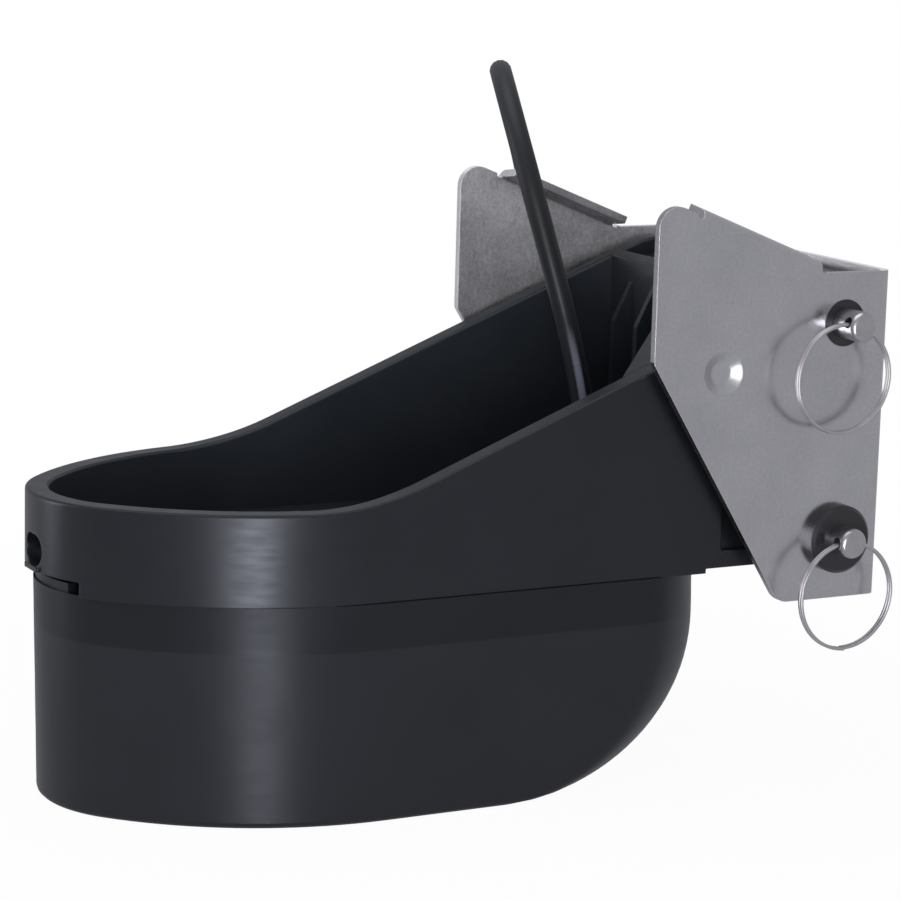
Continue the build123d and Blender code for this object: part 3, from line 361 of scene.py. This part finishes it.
cork_finish, tree, shader = new_finish("cork_rubber")
place = add(tree, "TexCoord")["Object"]
crumb = add(tree, "TexVoronoi", {"Vector": place, "Scale": CRUMB_SCALE})["Distance"]
feed(tree, shader, {
    "Base Color": mix(tree, crumb, CORK_COLOUR, CORK_DARK),
    "Normal": relief(tree, crumb, CRUMB_DISTANCE, CRUMB_DEPTH),
    "Roughness": CORK_ROUGHNESS,
})
dress(cork_finish, "element_holder")

ceramic_finish, tree, shader = new_finish("silvered_ceramic")
place = add(tree, "TexCoord")
flat = calc(tree, "ABSOLUTE", split(tree, place["Normal"])["Z"])
silver = ramp(tree, flat, *SILVER_FACING)
brushed = noise(tree, place["Object"], BRUSHED_SCALE, 4.0)
face = mix(tree, silver, CERAMIC_COLOUR, SILVER_COLOUR)
feed(tree, shader, {
    "Base Color": varied(tree, face, brushed, *SILVER_TONE),
    "Metallic": silver,
    "Roughness": ramp(tree, brushed, 0.0, 1.0, *SILVER_ROUGHNESS),
})
dress(ceramic_finish, "high_frequency_element")
dress(ceramic_finish, *[f"ceramic_element_{number}" for number in range(1, 8)])

# Coupling circuit. A green board over the ceramics, the stiff tinned leads that reach it and the
# toroid that matches them to the cable, wound with enamelled wire.
BOARD_COLOUR = (0.012, 0.10, 0.045, 1.0)
BOARD_ROUGHNESS = 0.35
BOARD_LACQUER = 0.4
TRACK_COLOUR = (0.03, 0.19, 0.085, 1.0)
TRACK_SCALE = 90.0
TRACK_WIDTH = 0.03
LEAD_COLOUR = (0.72, 0.68, 0.64, 1.0)
LEAD_DULL_COLOUR = (0.50, 0.47, 0.44, 1.0)
LEAD_DULL_SCALE = 1500.0
LEAD_ROUGHNESS = 0.4
WIRE_COLOUR = (0.50, 0.18, 0.06, 1.0)
WIRE_GAP_COLOUR = (0.08, 0.025, 0.01, 1.0)
WIRE_WAVE = (-1.0, 0.2)
WIRE_DISTANCE = 0.0006
WIRE_DEPTH = 0.8
WIRE_METAL = 0.6
WIRE_ROUGHNESS = 0.3
TOROID_CENTRE = (-0.118, 0.0)
WINDINGS = 46.0

board_finish, tree, shader = new_finish("circuit_board_green")
tracks = add(tree, "TexBrick", {
    "Vector": add(tree, "TexCoord")["Object"],
    "Color1": BOARD_COLOUR,
    "Color2": BOARD_COLOUR,
    "Mortar": TRACK_COLOUR,
    "Scale": TRACK_SCALE,
    "Mortar Size": TRACK_WIDTH,
})["Color"]
feed(tree, shader, {
    "Base Color": tracks, "Roughness": BOARD_ROUGHNESS, "Coat Weight": BOARD_LACQUER
})
dress(board_finish, "circuit_board")

lead_finish, tree, shader = new_finish("tinned_copper")
dull = noise(tree, add(tree, "TexCoord")["Object"], LEAD_DULL_SCALE)
feed(tree, shader, {
    "Base Color": mix(tree, dull, LEAD_DULL_COLOUR, LEAD_COLOUR),
    "Metallic": 1.0,
    "Roughness": LEAD_ROUGHNESS,
})
dress(lead_finish, "element_leads")

wound_finish, tree, shader = new_finish("enamelled_winding")
centred = add(tree, "Mapping", {
    "Vector": add(tree, "TexCoord")["Object"],
    "Location": (-TOROID_CENTRE[0], -TOROID_CENTRE[1], 0.0),
})[0]
parts = split(tree, centred)
angle = calc(tree, "ARCTAN2", parts["Y"], parts["X"])
wave = calc(tree, "SINE", calc(tree, "MULTIPLY", angle, WINDINGS))
wire = ramp(tree, wave, *WIRE_WAVE)
feed(tree, shader, {
    "Base Color": mix(tree, wire, WIRE_GAP_COLOUR, WIRE_COLOUR),
    "Normal": relief(tree, wire, WIRE_DISTANCE, WIRE_DEPTH),
    "Metallic": WIRE_METAL,
    "Roughness": WIRE_ROUGHNESS,
})
dress(wound_finish, "matching_transformer")

# Potting compound. Black resin poured round the elements to just under the keel's top edge. It
# sets glossy, with a faint skin where it touched the air.
RESIN_COLOUR = (0.016, 0.014, 0.013, 1.0)


def group_finish(name, group, values, *pieces, metallic=0.0):
    """A material that is one group with its own values, given to CAD pieces."""
    material, tree, shader = new_finish(name)
    use(tree, group, values, shader)
    shader["Metallic"].default_value = metallic
    dress(material, *pieces)


group_finish("black_resin", moulded, {
    "Colour": RESIN_COLOUR,
    "Roughness": 0.16,
    "Grain Scale": 60.0,
    "Grain Depth": 0.4,
    "Streaks": 0.0,
}, "potting_compound")

# Shroud. The tub that clips over the keel, moulded in glass-filled black nylon. Its outside has a
# satin skin with faint lines along the flow and edges rounded by the mould. Its rim is less shiny,
# and its inside is painted a lighter grey, a painted light that makes up for the shade in the tub.
SHROUD_COLOUR = (0.0075, 0.0078, 0.0095, 1.0)
SHROUD_INSIDE_PAINTED_LIGHT = (0.0285, 0.0330, 0.0390, 1.0)
SHROUD_RIM_COLOUR = (0.0115, 0.0122, 0.0142, 1.0)
SHROUD_ROUGHNESS = 0.36
SHROUD_SHINE = 0.5
SHROUD_RIM_SHINE = 0.22
SHROUD_EDGE_RADIUS = 0.0010
TAIL_CENTRE = 0.2655
PORT_X = -0.300
INSIDE_TURN = (0.1, -0.1)
RIM_FACING = (0.55, 0.85)
RIM_HEIGHTS = (108.0, 112.0)

shroud_finish, tree, shader = new_finish("shroud_nylon")
place = add(tree, "TexCoord")
level = split(tree, place["Object"])
# A wall's outside faces away from the tub's middle line, which ends where the tail is rounded
past = calc(tree, "MINIMUM", calc(tree, "ADD", level["X"], TAIL_CENTRE), 0.0)
outward = add(tree, "CombineXYZ", {0: past, 1: level["Y"]})[0]
outward = add(tree, "VectorMath", {0: outward}, operation="NORMALIZE")[0]
inside = ramp(tree, agree(tree, outward, place["Normal"]), *INSIDE_TURN)
before_port = calc(tree, "GREATER_THAN", level["X"], PORT_X)
inside = calc(tree, "MULTIPLY", inside, before_port)
upward = ramp(tree, split(tree, place["Normal"])["Z"], *RIM_FACING)
above = ramp(tree, level["Z"], *map(up, RIM_HEIGHTS))
rim = calc(tree, "MULTIPLY", upward, above)
# The inside gets a lighter colour than the outside, a painted light
wall = mix(tree, inside, SHROUD_COLOUR, SHROUD_INSIDE_PAINTED_LIGHT)
use(tree, moulded, {
    "Colour": mix(tree, rim, wall, SHROUD_RIM_COLOUR),
    "Roughness": SHROUD_ROUGHNESS,
    "Grain Scale": 1800.0,
    "Streaks": 0.16,
    "Edge Radius": ramp(tree, inside, low=SHROUD_EDGE_RADIUS, high=0.0),
}, shader)
feed(tree, shader, {
    "Specular IOR Level": ramp(tree, rim, low=SHROUD_SHINE, high=SHROUD_RIM_SHINE),
    "Specular Tint": SHINE_TINT,
})
dress(shroud_finish, "shroud")

# Deck screws. Six stainless pan-head screws with cross recesses through the shroud's floor, down
# into the resin. The lathe's fine lines are a group that the other turned metals share.
BRIGHT_STEEL_COLOUR = (0.62, 0.61, 0.60, 1.0)
LATHE_DISTANCE = 0.00004
LATHE_DEPTH = 0.25
TARNISH_SCALE = 300.0
TARNISH_TONE = (0.85, 1.12)
TARNISH_ROUGHNESS = 0.25

turned, given, result = new_group("turned_metal", [
    ("Colour", "Color", BRIGHT_STEEL_COLOUR),
    ("Roughness", "Float", 0.22),
    ("Lines Along X", "Float", 0.0),
    ("Lines Along Y", "Float", 2600.0),
    ("Lines Along Z", "Float", 0.0),
])
place = add(turned, "TexCoord")["Object"]
spacing = add(turned, "CombineXYZ", enumerate(given[f"Lines Along {axis}"] for axis in "XYZ"))[0]
stretched = add(turned, "VectorMath", {0: place, 1: spacing}, operation="MULTIPLY")[0]
lines = noise(turned, stretched, 1.0, 3.0)
tarnish = noise(turned, place, TARNISH_SCALE, 3.0)
both = calc(turned, "MULTIPLY", lines, tarnish)
feed(turned, result, {
    "Base Color": varied(turned, given["Colour"], tarnish, *TARNISH_TONE),
    "Roughness": calc(turned, "MULTIPLY_ADD", both, TARNISH_ROUGHNESS, given["Roughness"]),
    "Normal": relief(turned, lines, LATHE_DISTANCE, LATHE_DEPTH),
})

group_finish("screw_steel", turned, {
    "Roughness": 0.28, "Lines Along X": 300.0, "Lines Along Y": 300.0
}, "deck_screws", metallic=1.0)

# Temperature sensor. The polished steel tip of the probe that reads the water's temperature. It
# goes through the keel's far wall and ends flush with it.
group_finish("sensor_steel", turned, {"Roughness": 0.15}, "temperature_sensor", metallic=1.0)

# Transom bracket. One stainless sheet, sheared, pierced and folded. Its faces keep the dull
# mottled mill finish with the rolling grain upright, its sheared edges are rounded at their
# corners and painted paler there, a painted highlight, and each ear has a dimple pressed in it.
# Some faces and edges are painted paler or darker by place, as painted light and painted shade.
STEEL_COLOUR = (0.545, 0.54, 0.558, 1.0)
STEEL_INNER_PAINTED_LIGHT = (0.77, 0.76, 0.765, 1.0)
STEEL_EDGE_COLOUR = (0.45, 0.435, 0.445, 1.0)
STEEL_FAR_EDGE_PAINTED_LIGHT = (0.86, 0.81, 0.83, 1.0)
STEEL_CORNER_HIGHLIGHT = (0.60, 0.575, 0.59, 1.0)
STEEL_TOP_PAINTED_LIGHT = (0.98, 0.95, 0.96, 1.0)
FLANGE_EDGE_PAINTED_SHADE = (0.46, 0.46, 0.47, 1.0)
STEEL_ROUGHNESS = 0.22
STEEL_INNER_ROUGHNESS = 0.45
STEEL_PRESSED_ROUGHNESS = 0.36
# The corners and the upper edges are rougher than the face that they are on by this much
STEEL_CORNER_ROUGHNESS = 0.24
STEEL_TOP_ROUGHNESS = 0.36
ORANGE_PEEL_SCALE = 900.0
ROLLING_GRAIN = (800.0, 800.0, 240.0)
ROLLING_SHARE = 0.5
MOTTLE_CLOUD_SCALE = 45.0
MOTTLE_RANGE = (0.75, 1.75)
MOTTLE_ROUGHNESS = (-0.06, 0.06)
MOTTLE_SPREAD = (0.12, 0.36)
MOTTLE_DISTANCE = 0.00010
CORNER_RADIUS = 0.00055
CORNER_TURN = (0.985, 0.90)
CORNER_SAMPLES = 8
DIMPLE_CORNER_RADIUS = 0.0014
DIMPLE_X = -0.0732
DIMPLE_HEIGHT = 157.6
DIMPLE_FLAT = 0.0026
DIMPLE_REACH = 0.0098
DIMPLE_DEPTH = 0.0007
# How far into the pressing, as a share, the sheet stops being plain, bends and is smoothed
DIMPLE_BEGINS = 0.01
DIMPLE_BENDS = 0.05
DIMPLE_SMOOTHED = 0.2
# From where to where on the sheet each kind of surface begins
INSIDE_OF_EAR = (0.0, -0.04)
SHEARED_FACING = (0.5, 0.1)
TOP_FACING = (0.4, 0.8)
FAR_EAR_Y = (0.0, 0.01)
PLATE_X = (-0.0050, -0.0045)
PLATE_FACING = (-0.5, -0.9)
PLATE_INSIDE_SHARE = 0.38
FLANGE_EDGE_Y = 0.070

rolled, given, result = new_group("rolled_sheet", [
    ("Colour", "Color", STEEL_COLOUR),
    ("Roughness", "Float", STEEL_ROUGHNESS),
    ("Mottle", "Float", 0.30),
    ("Spread", "Float", 0.14),
    ("Pressed", "Float", 0.0),
    ("Corner Colour", "Color", STEEL_CORNER_HIGHLIGHT),
])
place = add(rolled, "TexCoord")["Object"]
orange = noise(rolled, place, ORANGE_PEEL_SCALE, 4.0)
upright = add(rolled, "Mapping", {"Vector": place, "Scale": ROLLING_GRAIN})[0]
grain = calc(rolled, "MULTIPLY_ADD", noise(rolled, upright, 1.0, 3.0), ROLLING_SHARE, orange)
cloud = noise(rolled, place, MOTTLE_CLOUD_SCALE, 4.0)
tone = ramp(rolled, calc(rolled, "ADD", grain, cloud), *MOTTLE_RANGE)
rough = ramp(rolled, tone, 0.0, 1.0, *MOTTLE_ROUGHNESS)
rough = calc(rolled, "ADD", rough, given["Roughness"])
# The sheared corners are rounded by the bevel's normal, which catches the light, and are painted
# paler and made rougher there, a painted highlight; the pressed dimples flow smoothly into the
# sheet
reach = ramp(rolled, given["Pressed"], 0.0, DIMPLE_BENDS, CORNER_RADIUS, DIMPLE_CORNER_RADIUS)
corner = add(rolled, "Bevel", {"Radius": reach}, samples=CORNER_SAMPLES)[0]
turn = agree(rolled, corner, add(rolled, "NewGeometry")["True Normal"])
plain = calc(rolled, "LESS_THAN", given["Pressed"], DIMPLE_BEGINS)
rounded_corner_highlight = calc(rolled, "MULTIPLY", ramp(rolled, turn, *CORNER_TURN), plain)
dent = relief(rolled, given["Pressed"], -DIMPLE_DEPTH, Normal=corner)
centred = ramp(rolled, tone, low=-1.0, high=1.0)
spread = calc(rolled, "MULTIPLY_ADD", centred, given["Spread"], 1.0)
faces = scaled(rolled, given["Colour"], spread)
feed(rolled, result, {
    "Base Color": mix(rolled, rounded_corner_highlight, faces, given["Corner Colour"]),
    "Roughness": calc(rolled, "MULTIPLY_ADD", rounded_corner_highlight, STEEL_CORNER_ROUGHNESS, rough),
    "Normal": relief(rolled, orange, MOTTLE_DISTANCE, given["Mottle"], Normal=dent),
})

sheet_finish, tree, shader = new_finish("mill_finish_stainless")
place = add(tree, "TexCoord")
facing = split(tree, place["Normal"])
where = split(tree, place["Object"])
# The ears' inner faces are painted much paler than their outer faces, a painted light
inside = ramp(tree, calc(tree, "MULTIPLY", where["Y"], facing["Y"]), *INSIDE_OF_EAR)
face = mix(tree, inside, STEEL_COLOUR, STEEL_INNER_PAINTED_LIGHT)
# The sheared edges, all round the ears but not on the back plate. The far ear's are painted much
# paler than the near ear's, a painted light on the same sheared edge
sideways = calc(tree, "ABSOLUTE", facing["Y"])
behind = calc(tree, "LESS_THAN", where["X"], PLATE_X[1])
edge = calc(tree, "MULTIPLY", ramp(tree, sideways, *SHEARED_FACING), behind)
far_ear = ramp(tree, where["Y"], *FAR_EAR_Y)
sheared = mix(tree, far_ear, STEEL_EDGE_COLOUR, STEEL_FAR_EDGE_PAINTED_LIGHT)
mixed = mix(tree, edge, face, sheared)
# The edges that the flanges end in, nearer the middle than the ears are, painted darker than the
# face, a painted shade
from_middle = calc(tree, "ABSOLUTE", where["Y"])
flange = calc(tree, "LESS_THAN", from_middle, FLANGE_EDGE_Y)
flange = calc(tree, "MULTIPLY", flange, sideways)
mixed = mix(tree, flange, mixed, FLANGE_EDGE_PAINTED_SHADE)
# The upper edges of the far ear and the plate, and the plate's inner face, are painted the palest,
# a painted light
plate = ramp(tree, where["X"], *PLATE_X)
upward = ramp(tree, facing["Z"], *TOP_FACING)
upper = calc(tree, "MULTIPLY", upward, calc(tree, "MAXIMUM", far_ear, plate))
inward = ramp(tree, facing["X"], *PLATE_FACING, high=PLATE_INSIDE_SHARE)
painted_palest = calc(tree, "MAXIMUM", upper, calc(tree, "MULTIPLY", inward, plate))
mixed = mix(tree, painted_palest, mixed, STEEL_TOP_PAINTED_LIGHT)
flattened = add(tree, "CombineXYZ", {0: where["X"], 2: where["Z"]})[0]
dimple_centre = (DIMPLE_X, 0.0, up(DIMPLE_HEIGHT))
away = add(tree, "VectorMath", {0: flattened, 1: dimple_centre}, operation="DISTANCE")["Value"]
dimple = ramp(tree, away, DIMPLE_REACH, DIMPLE_FLAT, curve="SMOOTHSTEP")
rough = ramp(tree, inside, low=STEEL_ROUGHNESS, high=STEEL_INNER_ROUGHNESS)
rough = calc(tree, "MULTIPLY_ADD", painted_palest, STEEL_TOP_ROUGHNESS, rough)
smoothed = ramp(tree, dimple, 0.0, DIMPLE_SMOOTHED)
use(tree, rolled, {
    "Colour": mixed,
    "Roughness": add(tree, "Mix", {0: smoothed, 2: rough, 3: STEEL_PRESSED_ROUGHNESS})[0],
    "Spread": ramp(tree, inside, 0.0, 1.0, *MOTTLE_SPREAD),
    "Pressed": dimple,
}, shader)
shader["Metallic"].default_value = 1.0
dress(sheet_finish, "transom_bracket")

# Bushes. Turned from black acetal and pressed in the bracket's ears, flush sleeves for the upper
# pin and flanged ones for the lower.
BUSH_COLOUR = (0.021, 0.021, 0.024, 1.0)

group_finish("black_acetal", moulded, {
    "Colour": BUSH_COLOUR,
    "Roughness": 0.30,
    "Grain Scale": 900.0,
    "Grain Depth": 0.15,
    "Streaks": 0.05,
}, "upper_bush_near", "upper_bush_far", "lower_bush_near", "lower_bush_far")

# Pins and rings. Turned stainless clevis pins with domed ends, and rings of two turns of hard
# drawn wire through their cross holes.
PIN_COLOUR = (0.50, 0.49, 0.50, 1.0)
RING_COLOUR = (0.56, 0.53, 0.545, 1.0)

group_finish("turned_stainless", turned, {
    "Colour": PIN_COLOUR, "Roughness": 0.24
}, "upper_pin", "lower_pin", metallic=1.0)
group_finish("drawn_wire", turned, {
    "Colour": RING_COLOUR, "Roughness": 0.32, "Lines Along Y": 0.0
}, "upper_ring", "lower_ring", metallic=1.0)

# Gland. A moulded nylon gland that is screwed into the resin, and the nut that clamps the cable
# in it. The tapered strain relief above the nut wears the cable's own finish.
GLAND_COLOUR = (0.013, 0.013, 0.014, 1.0)

group_finish("gland_nylon", moulded, {
    "Colour": GLAND_COLOUR,
    "Roughness": 0.33,
    "Grain Scale": 1500.0,
    "Grain Depth": 0.2,
    "Streaks": 0.04,
}, "cable_gland", "gland_nut")

# Cable. Ten metres of black jacketed cable, out of the strain relief, up out of the tub and over,
# down behind the far ear, and put away as a tied coil with its connector lying on it. One spline,
# with the route's own points and a loop for the turns.
CABLE = 0.0088
CABLE_SIDES = 5
CABLE_STEPS = 4
JACKET_COLOUR = (0.0150, 0.0155, 0.0175, 1.0)
JACKET_ROUGHNESS = 0.48
JACKET_SHINE = 0.35
JACKET_LOW_PAINTED_LIGHT = (0.020, 0.021, 0.025, 1.0)
JACKET_LOW_ROUGHNESS = 0.26
JACKET_LOW_SHINE = 1.0
JACKET_PAINTED_HIGHLIGHT = (0.40, 0.43, 0.53, 1.0)
STRIPE_DIRECTION = (-0.38, -0.925, 0.0)
STRIPE_TURN = (0.90, 1.0)
# From where to where down the rising cable the smoother, paler jacket and the painted highlight
# set in, and the Y that keeps them off the cable's other runs
LOW_RUN_HEIGHTS = (205.0, 150.0)
STRIPE_HEIGHTS = (166.0, 143.0)
RISING_RUN_Y = 0.02
LEAD_POINTS = [
    (-84.656, 0.0, 124.481),
    (-88.76, 0.0, 145.0),
    (-98.1, 0.0, 176.5),
    (-110.6, 0.0, 213.8),
    (-112.6, 13.0, 239.5),
    (-106.8, 35.5, 256.8),
    (-94.8, 61.5, 260.8),
    (-79.7, 84.0, 250.6),
    (-65.7, 97.0, 228.9),
    (-56.4, 99.6, 199.5),
    (-50.6, 99.4, 155.0),
    (-49.2, 99.4, 98.0),
    (-50.4, 99.4, 42.5),
    (-64.0, 99.4, 18.2),
    (-88.0, 99.4, 4.6),
    (-116.0, 99.7, 4.6),
]
TAIL_POINTS = [
    (-135.2, 131.0, 50.2),
    (-152.4, 137.3, 51.0),
    (-166.4, 149.1, 51.6),
    (-175.6, 164.9, 52.2),
    (-178.8, 183.0, 52.9),
    (-175.6, 201.1, 53.7),
    (-166.4, 216.9, 54.6),
    (-152.4, 228.7, 55.5),
    (-135.2, 235.0, 56.4),
    (-117.0, 235.0, 56.4),
]
COIL_CENTRE = (-106.0, 176.0)
COIL_MEAN_RADIUS = 59.0
COIL_ACROSS = 5
COIL_LAYERS = 5
COIL_LIFT = 1.3
COIL_START = radians(-97.5)
POINTS_A_TURN = 16
SPLINE_CUT = 0.25
STEP_SHARE = 0.25
LAST_LIFT = 48.6
LAST_LIFT_SHARE = 0.3


def ease(value):
    """A smooth step from 0 to 1."""
    value = min(max(value, 0.0), 1.0)
    return value * value * (3.0 - 2.0 * value)


def coil_points():
    """The coil's turns, layer on layer, each layer wound back over the one below."""
    pitch = CABLE / MM
    outer = COIL_MEAN_RADIUS + pitch * (COIL_ACROSS - 1) / 2
    turns = COIL_ACROSS * COIL_LAYERS
    # A control polygon's spline runs inside it, so the polygon is drawn a little wider
    widen = 1.0 / (1.0 - SPLINE_CUT + SPLINE_CUT * cos(tau / POINTS_A_TURN))
    points = []
    for step in range(1, turns * POINTS_A_TURN + 1):
        turn, part = divmod(step / POINTS_A_TURN, 1.0)
        moved = ease((part - 1.0 + STEP_SHARE) / STEP_SHARE)
        layer, place = divmod(int(turn), COIL_ACROSS)
        last = place == COIL_ACROSS - 1
        inward = place + (0.0 if last else moved)
        if layer % 2:
            inward = COIL_ACROSS - 1 - inward
        radius = (outer - pitch * inward) * widen
        height = COIL_LIFT + pitch * (layer + 0.5 + (moved if last else 0.0))
        finish = (step / POINTS_A_TURN - turns) / LAST_LIFT_SHARE + 1.0
        if finish > 0.0:
            top = COIL_LIFT + pitch * (COIL_LAYERS - 0.5)
            height = top + (LAST_LIFT - top) * ease(finish)
            radius = (outer - pitch * (COIL_ACROSS - 1)) * widen
        angle = COIL_START - tau * step / POINTS_A_TURN
        points.append((
            COIL_CENTRE[0] + radius * cos(angle),
            COIL_CENTRE[1] + radius * sin(angle),
            height,
        ))
    return points


cable_curve = bpy.data.curves.new("cable", "CURVE")
cable_curve.dimensions = "3D"
cable_curve.bevel_depth = CABLE / 2
cable_curve.bevel_resolution = CABLE_SIDES
cable_curve.resolution_u = CABLE_STEPS
cable_curve.use_fill_caps = True
cable_spline = cable_curve.splines.new("NURBS")
cable_route = LEAD_POINTS + coil_points() + TAIL_POINTS
cable_spline.points.add(len(cable_route) - 1)
for point, (x, y, height) in zip(cable_spline.points, cable_route):
    point.co = (x * MM, y * MM, up(height), 1.0)
cable_spline.order_u = 3
cable_spline.use_endpoint_u = True

jacket_finish, tree, shader = new_finish("cable_jacket")
place = add(tree, "TexCoord")
level = split(tree, place["Object"])
rising = calc(tree, "LESS_THAN", level["Y"], RISING_RUN_Y)
# Where it stands in the tub the jacket is smoother and shinier, and painted a little paler, a
# painted light for the shade in the tub
low = ramp(tree, level["Z"], *map(up, LOW_RUN_HEIGHTS))
low_run_painted_light = calc(tree, "MULTIPLY", low, rising)
jacket = mix(tree, low_run_painted_light, JACKET_COLOUR, JACKET_LOW_PAINTED_LIGHT)
# A pale stripe along its near side, just above the tub's rim, is a painted highlight
across = agree(tree, place["Normal"], STRIPE_DIRECTION)
narrow = ramp(tree, across, *STRIPE_TURN, curve="SMOOTHSTEP")
lower = ramp(tree, level["Z"], *map(up, STRIPE_HEIGHTS))
painted_highlight_stripe = calc(tree, "MULTIPLY", calc(tree, "MULTIPLY", narrow, lower), rising)
use(tree, moulded, {
    "Colour": mix(tree, painted_highlight_stripe, jacket, JACKET_PAINTED_HIGHLIGHT),
    "Roughness": ramp(tree, low_run_painted_light, low=JACKET_ROUGHNESS, high=JACKET_LOW_ROUGHNESS),
    "Grain Scale": 1600.0,
    "Grain Depth": 0.2,
    "Streaks": 0.0,
}, shader)
shine = ramp(tree, low_run_painted_light, low=JACKET_SHINE, high=JACKET_LOW_SHINE)
feed(tree, shader, {"Specular IOR Level": shine})
cable_curve.materials.append(jacket_finish)
dress(jacket_finish, "cable_core", "strain_relief")

cable = bpy.data.objects.new("cable", cable_curve)
bpy.context.scene.collection.objects.link(cable)
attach(cable, "root")
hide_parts("cable_lead", "cable_tail", "cable_coil")

# Ties. Straps of black woven hook tape, closed round all the turns of the coil to hold them
# together while it is put away.
TIE_COLOUR = (0.018, 0.018, 0.020, 1.0)
TIE_LIGHT = (0.05, 0.05, 0.055, 1.0)
TIE_ROUGHNESS = 0.8
TIE_SHEEN = 0.3
WEAVE_SCALE = 1300.0
WEAVE_DISTANCE = 0.0002
WEAVE_DEPTH = 0.6

tie_finish, tree, shader = new_finish("woven_strap")
weave = add(tree, "TexChecker", {
    "Vector": add(tree, "TexCoord")["Object"],
    "Color1": TIE_COLOUR,
    "Color2": TIE_LIGHT,
    "Scale": WEAVE_SCALE,
})
feed(tree, shader, {
    "Base Color": weave["Color"],
    "Normal": relief(tree, weave["Fac"], WEAVE_DISTANCE, WEAVE_DEPTH),
    "Roughness": TIE_ROUGHNESS,
    "Sheen Weight": TIE_SHEEN,
})
dress(tie_finish, "coil_ties")

# Connector. A round nickel-plated connector with a fluted locking ring, a black insert with its
# contact holes, and a soft tapered boot where the cable goes in.
BOOT_COLOUR = (0.017, 0.017, 0.018, 1.0)
PLATE_COLOUR = (0.52, 0.50, 0.47, 1.0)
INSERT_COLOUR = (0.012, 0.012, 0.013, 1.0)

group_finish("boot_rubber", moulded, {
    "Colour": BOOT_COLOUR,
    "Roughness": 0.55,
    "Grain Scale": 1100.0,
    "Grain Depth": 0.5,
    "Streaks": 0.05,
}, "connector_boot")
group_finish("nickel_plate", turned, {
    "Colour": PLATE_COLOUR, "Roughness": 0.24, "Lines Along Y": 0.0, "Lines Along X": 2200.0
}, "connector_shell", "connector_ring", metallic=1.0)
group_finish("insert_plastic", moulded, {
    "Colour": INSERT_COLOUR,
    "Roughness": 0.25,
    "Grain Scale": 1500.0,
    "Grain Depth": 0.1,
    "Streaks": 0.0,
}, "connector_insert")
